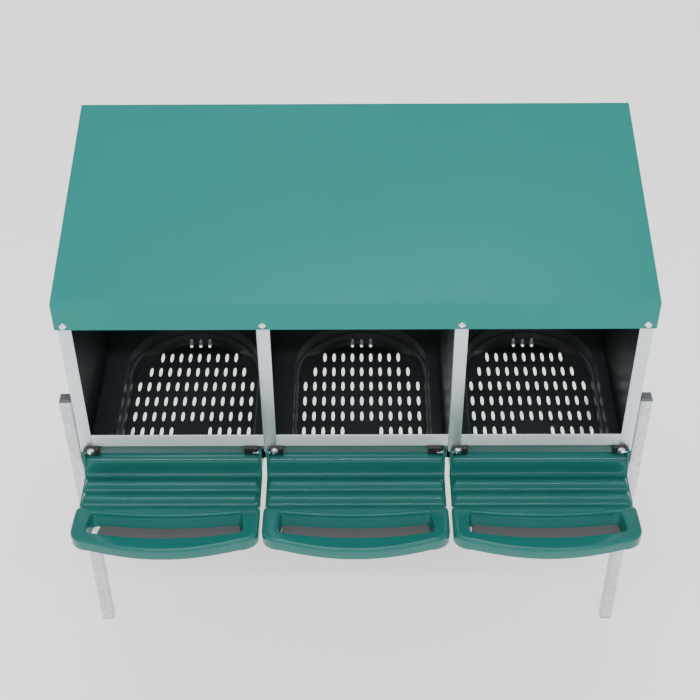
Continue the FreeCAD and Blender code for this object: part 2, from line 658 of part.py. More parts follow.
def build():
    nodes = {
        "roof_cover": roof_cover(),
        "left_side_panel": upright_panel(0),
        "left_divider": upright_panel(1),
        "right_divider": upright_panel(2),
        "right_side_panel": upright_panel(3),
        "back_panel": back_panel(),
        "front_rail": front_rail(),
        "rear_rail": rear_rail(),
        "front_roof_screws": roof_screws(True),
        "rear_roof_screws": roof_screws(False),
        "rail_bolts": rail_bolts(),
        "rail_nuts": rail_nuts(),
        "leg_bolts": leg_bolts(),
        "leg_nuts": leg_nuts(),
        "back_rivets": back_rivets(),
        "hinge_pins": hinge_pins(),
    }
    for name, centre_x in PAN_CENTRES.items():
        nodes[name + "_nest_pan"] = nest_pan(centre_x, BASIN_CENTRES[name])
    for name, centre_x in PERCH_CENTRES.items():
        nodes[name + "_perch"] = perch(centre_x)
        nodes[name + "_tread_strip"] = tread_strip(centre_x)
        for side_name, side in SIDES.items():
            nodes[name + "_perch_" + side_name + "_hinge_block"] = hinge_block(centre_x, side)
    for side_name, side in SIDES.items():
        for depth_name, y in zip(("front", "rear"), leg_depths()):
            label = depth_name + "_" + side_name
            nodes[label + "_leg"] = leg(side, y)
            nodes[label + "_leg_cap"] = leg_end(side, y, True)
            nodes[label + "_foot_plug"] = leg_end(side, y, False)
    return nodes


os.makedirs("parts", exist_ok=True)
all_nodes = build()
front_most = min(solid.BoundBox.YMin for solid in all_nodes.values())
rear_most = max(solid.BoundBox.YMax for solid in all_nodes.values())
origin_shift = -(front_most + rear_most) / 2
print("origin shift", origin_shift)
for node_name, solid in all_nodes.items():
    solid.translate(vec(0, origin_shift, 0))
    solid.exportStep("parts/" + node_name + ".step")
    print(node_name, len(solid.Solids), solid.isValid())
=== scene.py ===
"""Visual model of a three-compartment nesting box: sheet body, green roof, black pans, green perches."""
import logging
import math
from dataclasses import dataclass
from enum import Enum
from typing import Callable, Iterable, Sequence

import bmesh
import bpy
import numpy as np
from mathutils import Matrix, Vector
from mathutils.geometry import delaunay_2d_cdt


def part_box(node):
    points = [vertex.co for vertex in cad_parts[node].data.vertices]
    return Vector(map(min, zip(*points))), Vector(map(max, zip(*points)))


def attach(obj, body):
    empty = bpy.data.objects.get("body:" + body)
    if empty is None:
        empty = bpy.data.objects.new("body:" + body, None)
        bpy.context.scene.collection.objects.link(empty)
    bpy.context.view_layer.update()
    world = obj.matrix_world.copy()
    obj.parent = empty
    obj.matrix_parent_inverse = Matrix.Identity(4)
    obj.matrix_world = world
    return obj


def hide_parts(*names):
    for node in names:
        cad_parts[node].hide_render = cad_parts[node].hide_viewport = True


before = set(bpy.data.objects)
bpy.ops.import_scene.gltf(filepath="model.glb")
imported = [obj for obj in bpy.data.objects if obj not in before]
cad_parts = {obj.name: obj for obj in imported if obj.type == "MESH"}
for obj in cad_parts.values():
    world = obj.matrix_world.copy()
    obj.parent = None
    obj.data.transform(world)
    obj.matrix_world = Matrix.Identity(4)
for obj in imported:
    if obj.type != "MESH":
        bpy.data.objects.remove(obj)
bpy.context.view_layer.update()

log = logging.getLogger("nesting_box")
MM = 0.001
FRONT_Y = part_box("left_side_panel")[0][1]      # the plane of the front posts, in metres
Point = tuple[float, float, float]
Flat = tuple[float, float]


def place(x: float, y: float, z: float) -> Vector:
    """Turns box millimetres into the frame's metres.

    Args:
        x: Distance to the right of the middle.
        y: Distance behind the front posts.
        z: Height above the ground.

    Returns:
        The point in the frame.
    """
    return Vector((x * MM, y * MM + FRONT_Y, z * MM))


class Body(Enum):
    """Bodies of the frame that pieces ride on."""
    BOX = "nest_box"
    LEFT_PERCH = "left_perch_flap"
    MIDDLE_PERCH = "middle_perch_flap"
    RIGHT_PERCH = "right_perch_flap"
    LEFT_PAN = "left_pan"
    MIDDLE_PAN = "middle_pan"
    RIGHT_PAN = "right_pan"


class Slot(Enum):
    """Material slots of the record."""
    SHEET = "galvanised_sheet"
    ROOF = "green_roof_paint"
    PERCH = "green_plastic"
    PAN = "black_plastic"
    BLOCK = "block_plastic"
    TREAD = "grey_tread"
    LEG = "leg_steel"
    PLUG = "plug_plastic"
    FASTENER = "zinc_fasteners"


class Bay(Enum):
    """The three compartments, from left to right."""
    LEFT = "left"
    MIDDLE = "middle"
    RIGHT = "right"

    @property
    def number(self) -> int:
        """Position from the left, counted from zero."""
        return list(Bay).index(self)

    @property
    def middle(self) -> float:
        """Middle of the compartment across the box, in millimetres."""
        return -300.0 + 300.0 * self.number


# ---------------------------------------------------------------------------------------------------------
# Finishes
# ---------------------------------------------------------------------------------------------------------
class ShaderSketch:
    """Short hand for building a material's node tree."""

    def __init__(self, name: str) -> None:
        """Starts an empty material.

        Args:
            name: Name of the material.
        """
        self.material = bpy.data.materials.new(name)
        self.material.use_nodes = True
        self.nodes = self.material.node_tree.nodes
        self.links = self.material.node_tree.links
        self.nodes.clear()
        self.surface = self.add("ShaderNodeBsdfPrincipled")
        output = self.add("ShaderNodeOutputMaterial")
        self.links.new(self.surface.outputs["BSDF"], output.inputs["Surface"])
        self.object_space = self.add("ShaderNodeTexCoord").outputs["Object"]

    def add(self, kind: str, **settings: object) -> bpy.types.Node:
        """Adds a node.

        Args:
            kind: Type name of the node.
            settings: Properties to set on it.

        Returns:
            The new node.
        """
        node = self.nodes.new(kind)
        for key, value in settings.items():
            setattr(node, key, value)
        return node

    def maths(self, operation: str, *values: float | bpy.types.NodeSocket) -> bpy.types.NodeSocket:
        """Adds a sum of numbers and outputs.

        Args:
            operation: Name of the operation.
            values: Its inputs in order.

        Returns:
            The result.
        """
        node = self.add("ShaderNodeMath", operation=operation)
        for socket, value in zip(node.inputs, values):
            if isinstance(value, float):
                socket.default_value = value
            else:
                self.links.new(value, socket)
        return node.outputs[0]

    def stretched(self, scale: Point) -> bpy.types.NodeSocket:
        """Object coordinates scaled along each axis.

        Args:
            scale: Factor along X, Y and Z.

        Returns:
            The mapped vector.
        """
        mapping = self.add("ShaderNodeMapping")
        mapping.inputs["Scale"].default_value = scale
        self.links.new(self.object_space, mapping.inputs["Vector"])
        return mapping.outputs["Vector"]

    def noise(self, scale: float, detail: float, roughness: float = 0.5,
              stretch: Point = (1.0, 1.0, 1.0)) -> bpy.types.NodeSocket:
        """Noise in object space.

        Args:
            scale: Cells per metre.
            detail: Octaves.
            roughness: Weight of the finer octaves.
            stretch: Scaling of the coordinates along each axis.

        Returns:
            The factor output.
        """
        node = self.add("ShaderNodeTexNoise")
        node.inputs["Scale"].default_value = scale
        node.inputs["Detail"].default_value = detail
        node.inputs["Roughness"].default_value = roughness
        self.links.new(self.stretched(stretch), node.inputs["Vector"])
        return node.outputs["Fac"]

    def spread(self, value: bpy.types.NodeSocket, low: float, high: float,
               source: Flat = (0.3, 0.7)) -> bpy.types.NodeSocket:
        """Maps a factor to a range.

        Args:
            value: Factor to map.
            low: Result at the source's lower end.
            high: Result at the source's upper end.
            source: Range of the factor.

        Returns:
            The mapped value.
        """
        node = self.add("ShaderNodeMapRange")
        ends = {"From Min": source[0], "From Max": source[1], "To Min": low, "To Max": high}
        for key, number in ends.items():
            node.inputs[key].default_value = number
        self.links.new(value, node.inputs["Value"])
        return node.outputs["Result"]

    def blend(self, factor: bpy.types.NodeSocket, first: Point, second: Point) -> bpy.types.NodeSocket:
        """Mixes two colours.

        Args:
            factor: Weight of the second colour.
            first: Linear colour at factor zero.
            second: Linear colour at factor one.

        Returns:
            The colour output.
        """
        node = self.add("ShaderNodeMix", data_type="RGBA")
        node.inputs[6].default_value = (*first, 1.0)
        node.inputs[7].default_value = (*second, 1.0)
        self.links.new(factor, node.inputs[0])
        return node.outputs[2]

    def over(self, factor: bpy.types.NodeSocket, tint: bpy.types.NodeSocket,
             colour: Point) -> bpy.types.NodeSocket:
        """Lays a plain colour over a colour output.

        Args:
            factor: Weight of the plain colour.
            tint: Colour output underneath.
            colour: Linear colour laid over it.

        Returns:
            The colour output.
        """
        node = self.add("ShaderNodeMix", data_type="RGBA")
        self.links.new(factor, node.inputs[0])
        self.links.new(tint, node.inputs[6])
        node.inputs[7].default_value = (*colour, 1.0)
        return node.outputs[2]

    def within(self, low: Point, high: Point) -> bpy.types.NodeSocket:
        """Weight that is one inside an upright box and none outside.

        Args:
            low: Lower corner in metres.
            high: Upper corner in metres.

        Returns:
            The weight.
        """
        axes = self.add("ShaderNodeSeparateXYZ")
        self.links.new(self.object_space, axes.inputs[0])
        weight = None
        for axis, start, end in zip(axes.outputs, low, high):
            for operation, limit in (("GREATER_THAN", start), ("LESS_THAN", end)):
                test = self.maths(operation, axis, limit)
                weight = test if weight is None else self.maths("MULTIPLY", weight, test)
        return weight

    def height(self) -> bpy.types.NodeSocket:
        """Height above the ground in metres."""
        node = self.add("ShaderNodeSeparateXYZ")
        self.links.new(self.object_space, node.inputs[0])
        return node.outputs[2]

    def bump(self, height: bpy.types.NodeSocket, strength: float, depth: float,
             below: bpy.types.NodeSocket | None = None) -> bpy.types.NodeSocket:
        """Turns a height into a normal.

        Args:
            height: Height factor.
            strength: Weight of the bump.
            depth: Distance in metres that a height of one stands for.
            below: Normal of a coarser bump, if any.

        Returns:
            The normal output.
        """
        node = self.add("ShaderNodeBump")
        node.inputs["Strength"].default_value = strength
        node.inputs["Distance"].default_value = depth
        self.links.new(height, node.inputs["Height"])
        if below is not None:
            self.links.new(below, node.inputs["Normal"])
        return node.outputs["Normal"]

    def feed(self, socket: str, value: bpy.types.NodeSocket) -> None:
        """Links a value into the surface shader.

        Args:
            socket: Name of the shader's input.
            value: Output to link to it.
        """
        self.links.new(value, self.surface.inputs[socket])

    def fix(self, **values: float) -> None:
        """Sets plain numbers on the surface shader.

        Args:
            values: Number for each input, with underscores for the spaces in its name.
        """
        for key, value in values.items():
            self.surface.inputs[key.replace("_", " ")].default_value = value


@dataclass(frozen=True)
class ZincFinish:
    """Zinc-coated steel: faint spangle, streaks along one axis and uneven gloss.

    Below the height recess the sheet carries painted shade tinted by a painted green reflection of the
    perches, and inside the given box it carries painted shade. Both are in metres.
    """
    name: str
    colour: Point
    roughness: Flat
    streak: Point = (1.0, 1.0, 0.05)
    spangle: float = 0.06
    spangle_share: float = 0.45
    spangle_scale: float = 95.0
    streak_scale: float = 420.0
    cloud_scale: float = 9.0
    metallic: float = 0.5
    # Height below which painted shade, tinted by a painted green reflection of the perches, is laid on.
    recess: float | None = None
    recess_shade_colour: Point = (0.085, 0.19, 0.185)
    # Box inside which painted shade is laid on.
    shaded_inside: tuple[Point, Point] | None = None
    inside_shade_colour: Point = (0.105, 0.128, 0.138)

    def material(self) -> bpy.types.Material:
        """Builds the finish."""
        sketch = ShaderSketch(self.name)
        cells = sketch.add("ShaderNodeTexVoronoi", feature="F1")
        cells.inputs["Scale"].default_value = self.spangle_scale
        sketch.links.new(sketch.object_space, cells.inputs["Vector"])
        tone = sketch.add("ShaderNodeSeparateColor")
        sketch.links.new(cells.outputs["Color"], tone.inputs["Color"])
        streaks = sketch.noise(self.streak_scale, 5.0, 0.6, self.streak)
        clouds = sketch.noise(self.cloud_scale, 4.0)
        darker = tuple(channel * (1.0 - self.spangle) for channel in self.colour)
        lighter = tuple(min(1.0, channel * (1.0 + self.spangle)) for channel in self.colour)
        weight = sketch.maths("MULTIPLY_ADD", tone.outputs[0], self.spangle_share,
                              sketch.spread(streaks, 0.0, 1.0 - self.spangle_share))
        tint = sketch.blend(weight, darker, lighter)
        # Painted shade with a painted green reflection of the perches, below the recess height.
        if self.recess is not None:
            below = sketch.spread(sketch.height(), 1.0, 0.0, (self.recess - 0.0010, self.recess))
            tint = sketch.over(below, tint, self.recess_shade_colour)
        # Painted shade over the sheet inside the given box.
        if self.shaded_inside is not None:
            tint = sketch.over(sketch.within(*self.shaded_inside), tint, self.inside_shade_colour)
        sketch.feed("Base Color", tint)
        sketch.feed("Roughness", sketch.spread(clouds, *self.roughness))
        coarse = sketch.bump(clouds, 0.25, 0.0006)
        sketch.feed("Normal", sketch.bump(streaks, 0.12, 0.00006, coarse))
        sketch.fix(Metallic=self.metallic)
        return sketch.material


@dataclass(frozen=True)
class PaintFinish:
    """Sheet with a smooth satin coating: faint orange peel and slow changes of tone."""
    name: str
    colour: Point
    shade: Point
    roughness: Flat = (0.30, 0.40)
    gloss: float = 0.12
    speck_share: float = 0.25
    cloud_scale: float = 3.2
    speck_scale: float = 900.0
    peel_scale: float = 650.0
    wave_scale: float = 7.0

    def material(self) -> bpy.types.Material:
        """Builds the finish."""
        sketch = ShaderSketch(self.name)
        clouds = sketch.noise(self.cloud_scale, 5.0)
        specks = sketch.noise(self.speck_scale, 3.0)
        weight = sketch.maths("ADD", sketch.spread(clouds, 0.0, 1.0 - self.speck_share),
                              sketch.spread(specks, 0.0, self.speck_share))
        sketch.feed("Base Color", sketch.blend(weight, self.shade, self.colour))
        sketch.feed("Roughness", sketch.spread(sketch.noise(30.0, 4.0), *self.roughness))
        peel = sketch.bump(sketch.noise(self.peel_scale, 2.0), 0.12, 0.00008)
        sketch.feed("Normal", sketch.bump(sketch.noise(self.wave_scale, 2.0), 0.18, 0.0008, peel))
        sketch.fix(Specular_IOR_Level=self.gloss)
        return sketch.material


@dataclass(frozen=True)
class PlasticFinish:
    """Moulded plastic: fine grain, slow flow marks, and, if given, a painted highlight band between two
    heights.
    """
    name: str
    colour: Point
    shade: Point
    roughness: Flat
    grain: float = 0.1
    grain_scale: float = 1400.0
    mottle: float = 0.0
    flow_scale: float = 14.0
    speckle_scale: float = 520.0
    gloss: float = 0.5
    # Heights between which a painted highlight band is laid on.
    highlight_band: Flat | None = None
    highlight_colour: Point = (0.15, 0.16, 0.17)
    highlight_fade: float = 0.0002

    def material(self) -> bpy.types.Material:
        """Builds the finish."""
        sketch = ShaderSketch(self.name)
        flow = sketch.noise(self.flow_scale, 5.0, 0.55, (0.45, 1.0, 1.0))
        speckle = sketch.noise(self.speckle_scale, 4.0, 0.7)
        weight = sketch.maths("ADD", sketch.spread(speckle, 0.0, self.mottle),
                              sketch.spread(flow, 0.0, 1.0 - self.mottle))
        tint = sketch.blend(weight, self.shade, self.colour)
        # Painted highlight: a pale band between two heights.
        if self.highlight_band is not None:
            low, high = self.highlight_band
            height = sketch.height()
            above = sketch.spread(height, 0.0, 1.0, (low - self.highlight_fade, low))
            below = sketch.spread(height, 1.0, 0.0, (high, high + self.highlight_fade))
            tint = sketch.over(sketch.maths("MULTIPLY", above, below), tint, self.highlight_colour)
        sketch.feed("Base Color", tint)
        sketch.feed("Roughness", sketch.spread(sketch.noise(60.0, 3.0), *self.roughness))
        grain = sketch.bump(sketch.noise(self.grain_scale, 3.0, 0.6), self.grain, 0.00012)
        sketch.feed("Normal", grain)
        sketch.fix(Specular_IOR_Level=self.gloss)
        return sketch.material


@dataclass(frozen=True)
class FloorFinish:
    """Plain pale studio floor."""
    name: str = "studio floor"
    colour: Point = (0.94, 0.94, 0.94)
    glow: float = 0.8

    def material(self) -> bpy.types.Material:
        """Builds the finish."""
        sketch = ShaderSketch(self.name)
        darker = tuple(channel * 0.99 for channel in self.colour)
        sketch.feed("Base Color", sketch.blend(sketch.noise(2.0, 3.0), darker, self.colour))
        sketch.surface.inputs["Emission Color"].default_value = (1.0, 1.0, 1.0, 1.0)
        sketch.fix(Roughness=0.9, Emission_Strength=self.glow)
        return sketch.material


class Palette:
    """Every finish of the object, built once."""

    def __init__(self) -> None:
        """Builds the materials."""
        # Inside this box the sheet carries painted shade.
        nest_shade_box = (place(-449.6, 1.77, 400.0), place(449.6, 385.97, 800.0))
        self.sheet = ZincFinish("zinc sheet", (0.60, 0.68, 0.71), (0.28, 0.40), metallic=0.78,
                                spangle=0.09, shaded_inside=nest_shade_box).material()
        # Below its bend the sill carries painted shade tinted by a painted green reflection of the perches.
        self.sill = ZincFinish("zinc sill", (0.80, 0.88, 0.93), (0.26, 0.36), (0.05, 1.0, 1.0), metallic=0.3,
                               recess=0.4588).material()
        self.leg = ZincFinish("zinc tube", (0.60, 0.63, 0.66), (0.34, 0.48), spangle=0.2,
                              metallic=0.6).material()
        self.fastener = ZincFinish("bright zinc", (0.80, 0.81, 0.83), (0.16, 0.28), spangle=0.03,
                                   metallic=1.0).material()
        self.roof = PaintFinish("green roof coating", (0.020, 0.226, 0.202), (0.017, 0.212, 0.190)).material()
        self.perch = PlasticFinish("green perch plastic", (0.012, 0.140, 0.124), (0.009, 0.124, 0.110),
                                   (0.11, 0.17), grain=0.02, gloss=0.30).material()
        # The pan's pale band at the bead's nose is a painted highlight.
        self.pan = PlasticFinish("black pan plastic", (0.070, 0.078, 0.084), (0.036, 0.041, 0.046),
                                 (0.30, 0.40), grain=0.35, grain_scale=800.0, mottle=0.6,
                                 highlight_band=(0.3802, 0.3812)).material()
        self.block = PlasticFinish("black hinge plastic", (0.020, 0.019, 0.019), (0.012, 0.012, 0.013),
                                   (0.30, 0.42), grain=0.15).material()
        self.tread = PlasticFinish("grey tread", (0.088, 0.090, 0.098), (0.074, 0.076, 0.084),
                                   (0.62, 0.78), grain=0.35, mottle=0.3).material()
        self.plug = PlasticFinish("dark plug plastic", (0.095, 0.108, 0.120), (0.075, 0.086, 0.096),
                                  (0.35, 0.48), grain=0.15).material()
        self.floor = FloorFinish().material()


# ---------------------------------------------------------------------------------------------------------
# Mesh tools
# ---------------------------------------------------------------------------------------------------------
class Draft:
    """Collects points in box millimetres and faces, and becomes a mesh object in the frame."""

    def __init__(self) -> None:
        """Starts empty."""
        self.points: list[Point] = []
        self.faces: list[tuple[int, ...]] = []

    def ring(self, points: Iterable[Point]) -> list[int]:
        """Adds points.

        Args:
            points: Points of one ring.

        Returns:
            Their indices.
        """
        start = len(self.points)
        self.points.extend(tuple(float(c) for c in p) for p in points)
        return list(range(start, len(self.points)))

    def join(self, first: Sequence[int], second: Sequence[int], closed: bool = True) -> None:
        """Lays quads between two rings of equal length.

        Args:
            first: Indices of one ring.
            second: Indices of the other.
            closed: Whether the rings close on themselves.
        """
        count = len(first)
        for i in range(count if closed else count - 1):
            j = (i + 1) % count
            self.faces.append((first[i], first[j], second[j], second[i]))

    def loft(self, rings: Sequence[Sequence[Point]], closed: bool = True,
             caps: bool = False) -> list[list[int]]:
        """Lays a skin through a row of rings.

        Args:
            rings: Rings of equal length.
            closed: Whether each ring closes on itself.
            caps: Whether the first and last ring are filled.

        Returns:
            Indices of every ring.
        """
        laid = [self.ring(points) for points in rings]
        for first, second in zip(laid, laid[1:]):
            self.join(first, second, closed)
        if caps:
            self.faces.append(tuple(reversed(laid[0])))
            self.faces.append(tuple(laid[-1]))
        return laid

    def extrude(self, outline: Sequence[Flat], start: float, end: float) -> None:
        """Adds a closed prism that runs across the box.

        Args:
            outline: Its outline in depth and height.
            start: One end.
            end: The other end.
        """
        self.loft([[(x, y, z) for y, z in outline] for x in (start, end)], caps=True)

    def block(self, low: Point, high: Point) -> None:
        """Adds a box between two corners.

        Args:
            low: Lowest corner.
            high: Highest corner.
        """
        base = [(low[0], low[1]), (high[0], low[1]), (high[0], high[1]), (low[0], high[1])]
        self.loft([[(x, y, z) for x, y in base] for z in (low[2], high[2])], caps=True)

    def build(self, name: str, material: bpy.types.Material, sharp: float = 35.0,
              merge: float = 0.01, outward: bool = True) -> bpy.types.Object:
        """Makes the mesh object.

        Args:
            name: Name of the piece.
            material: Its finish.
            sharp: Angle in degrees over which an edge stays sharp.
            merge: Distance in millimetres under which points are merged.
            outward: Whether the normals are recalculated to point outwards.

        Returns:
            The object, at the origin.
        """
        mesh = bpy.data.meshes.new(name)
        mesh.from_pydata([place(*p) for p in self.points], [], self.faces)
        tool = bmesh.new()
        tool.from_mesh(mesh)
        if merge > 0:
            bmesh.ops.remove_doubles(tool, verts=tool.verts, dist=merge * MM)
        if outward:
            bmesh.ops.recalc_face_normals(tool, faces=tool.faces)
        tool.to_mesh(mesh)
        tool.free()
        mesh.materials.append(material)
        smooth(mesh, sharp)
        obj = bpy.data.objects.new(name, mesh)
        bpy.context.scene.collection.objects.link(obj)
        return obj


def smooth(mesh: bpy.types.Mesh, sharp: float) -> None:
    """Shades a mesh smooth apart from its sharp edges.

    Args:
        mesh: The mesh.
        sharp: Angle in degrees over which an edge stays sharp.
    """
    mesh.shade_smooth()
    mesh.set_sharp_from_angle(angle=math.radians(sharp))


def bake(obj: bpy.types.Object, sharp: float | None = None) -> bpy.types.Object:
    """Applies an object's modifiers.

    Args:
        obj: The object.
        sharp: Angle in degrees for its sharp edges, or None to leave the shading.

    Returns:
        The same object with a plain mesh.
    """
    graph = bpy.context.evaluated_depsgraph_get()
    graph.update()
    mesh = bpy.data.meshes.new_from_object(obj.evaluated_get(graph), depsgraph=graph)
    old = obj.data
    obj.modifiers.clear()
    obj.data = mesh
    mesh.name = old.name
    bpy.data.meshes.remove(old)
    if sharp is not None:
        smooth(mesh, sharp)
    return obj


def bevel(obj: bpy.types.Object, width: float, segments: int = 2, angle: float = 40.0) -> bpy.types.Object:
    """Rounds the sharp edges of a piece.

    Args:
        obj: The piece.
        width: Width in millimetres.
        segments: Number of segments.
        angle: Angle in degrees over which an edge is rounded.

    Returns:
        The piece.
    """
    modifier = obj.modifiers.new("edges", "BEVEL")
    modifier.width = width * MM
    modifier.segments = segments
    modifier.limit_method = "ANGLE"
    modifier.angle_limit = math.radians(angle)
    modifier.harden_normals = False
    return bake(obj, 32.0)


def thicken(obj: bpy.types.Object, thickness: float, offset: float = -1.0, even: bool = False,
            sharp: float = 35.0) -> bpy.types.Object:
    """Gives a skin its wall.

    Args:
        obj: The skin.
        thickness: Thickness in millimetres.
        offset: -1 to grow inwards, 1 outwards.
        even: Whether the wall keeps its thickness round corners.
        sharp: Angle in degrees for the sharp edges afterwards.

    Returns:
        The piece.
    """
    modifier = obj.modifiers.new("wall", "SOLIDIFY")
    modifier.thickness = thickness * MM
    modifier.offset = offset
    modifier.use_even_offset = even
    return bake(obj, sharp)


def face_up(obj: bpy.types.Object, judge: Callable[[bmesh.types.BMFace], float]) -> None:
    """Makes a skin's faces agree, with its top outwards.

    Args:
        obj: The skin.
        judge: Weight of a face; the heaviest one has to point upwards.
    """
    tool = bmesh.new()
    tool.from_mesh(obj.data)
    bmesh.ops.recalc_face_normals(tool, faces=tool.faces)
    if max(tool.faces, key=judge).normal.z < 0:
        bmesh.ops.reverse_faces(tool, faces=tool.faces)
    tool.to_mesh(obj.data)
    tool.free()


def carve(obj: bpy.types.Object, cutter: "Draft", sharp: float = 35.0) -> bpy.types.Object:
    """Cuts closed shapes out of a piece.

    Args:
        obj: The piece.
        cutter: Draft of the closed shapes.
        sharp: Angle in degrees for the sharp edges afterwards.

    Returns:
        The piece.
    """
    knife = cutter.build("knife", obj.data.materials[0])
    modifier = obj.modifiers.new("cut", "BOOLEAN")
    modifier.operation = "DIFFERENCE"
    modifier.solver = "EXACT"
    modifier.use_self = True
    modifier.object = knife
    bake(obj, sharp)
    bpy.data.objects.remove(knife, do_unlink=True)
    return obj


def merge_pieces(name: str, pieces: Sequence[bpy.types.Object]) -> bpy.types.Object:
    """Puts several meshes into one object.

    Args:
        name: Name of the result.
        pieces: Objects to take up.

    Returns:
        The first object, holding all the meshes.
    """
    tool = bmesh.new()
    for piece in pieces:
        tool.from_mesh(piece.data)
    keep = pieces[0]
    material = keep.data.materials[0]
    mesh = bpy.data.meshes.new(name)
    tool.to_mesh(mesh)
    tool.free()
    mesh.materials.append(material)
    smooth(mesh, 35.0)
    keep.data = mesh
    keep.name = name
    for piece in pieces[1:]:
        bpy.data.objects.remove(piece, do_unlink=True)
    return keep


def arc(centre: Flat, radius: float, start: float, end: float, steps: int) -> list[Flat]:
    """Points on an arc.

    Args:
        centre: Its middle.
        radius: Its radius.
        start: First angle in degrees.
        end: Last angle in degrees.
        steps: Number of segments.

    Returns:
        The points, both ends included.
    """
    angles = [math.radians(start + (end - start) * i / steps) for i in range(steps + 1)]
    return [(centre[0] + radius * math.cos(a), centre[1] + radius * math.sin(a)) for a in angles]


def rounded_path(corners: Sequence[Flat], radius: float, steps: int = 5) -> list[Flat]:
    """Rounds the inner corners of an open path.

    Args:
        corners: The path's points.
        radius: Radius of each bend.
        steps: Segments per bend.

    Returns:
        The rounded path.
    """
    path = [corners[0]]
    for before, corner, after in zip(corners, corners[1:], corners[2:]):
        a, b, c = Vector(before), Vector(corner), Vector(after)
        inward, outward = (a - b).normalized(), (c - b).normalized()
        half = inward.angle(outward) / 2
        reach = min(radius / math.tan(half), (a - b).length / 2, (c - b).length / 2)
        bend = reach * math.tan(half)
        middle = b + (inward + outward).normalized() * (bend / math.sin(half))
        first, last = b + inward * reach, b + outward * reach
        for i in range(steps + 1):
            spoke = (first - middle).lerp(last - middle, i / steps).normalized() * bend
            path.append(tuple(middle + spoke))
    path.append(corners[-1])
    return path


def ribbon(path: Sequence[Flat], thickness: float) -> list[Flat]:
    """Closed outline of a strip of sheet.

    Args:
        path: One face of the sheet, seen along its fold lines.
        thickness: Thickness, laid to the left of the path's direction.

    Returns:
        The outline, once round.
    """
    points = [Vector(p) for p in path]
    offset = []
    for i, point in enumerate(points):
        before = points[max(i - 1, 0)]
        after = points[min(i + 1, len(points) - 1)]
        along = (after - before).normalized()
        offset.append(tuple(point + Vector((-along.y, along.x)) * thickness))
    return [tuple(p) for p in points] + offset[::-1]


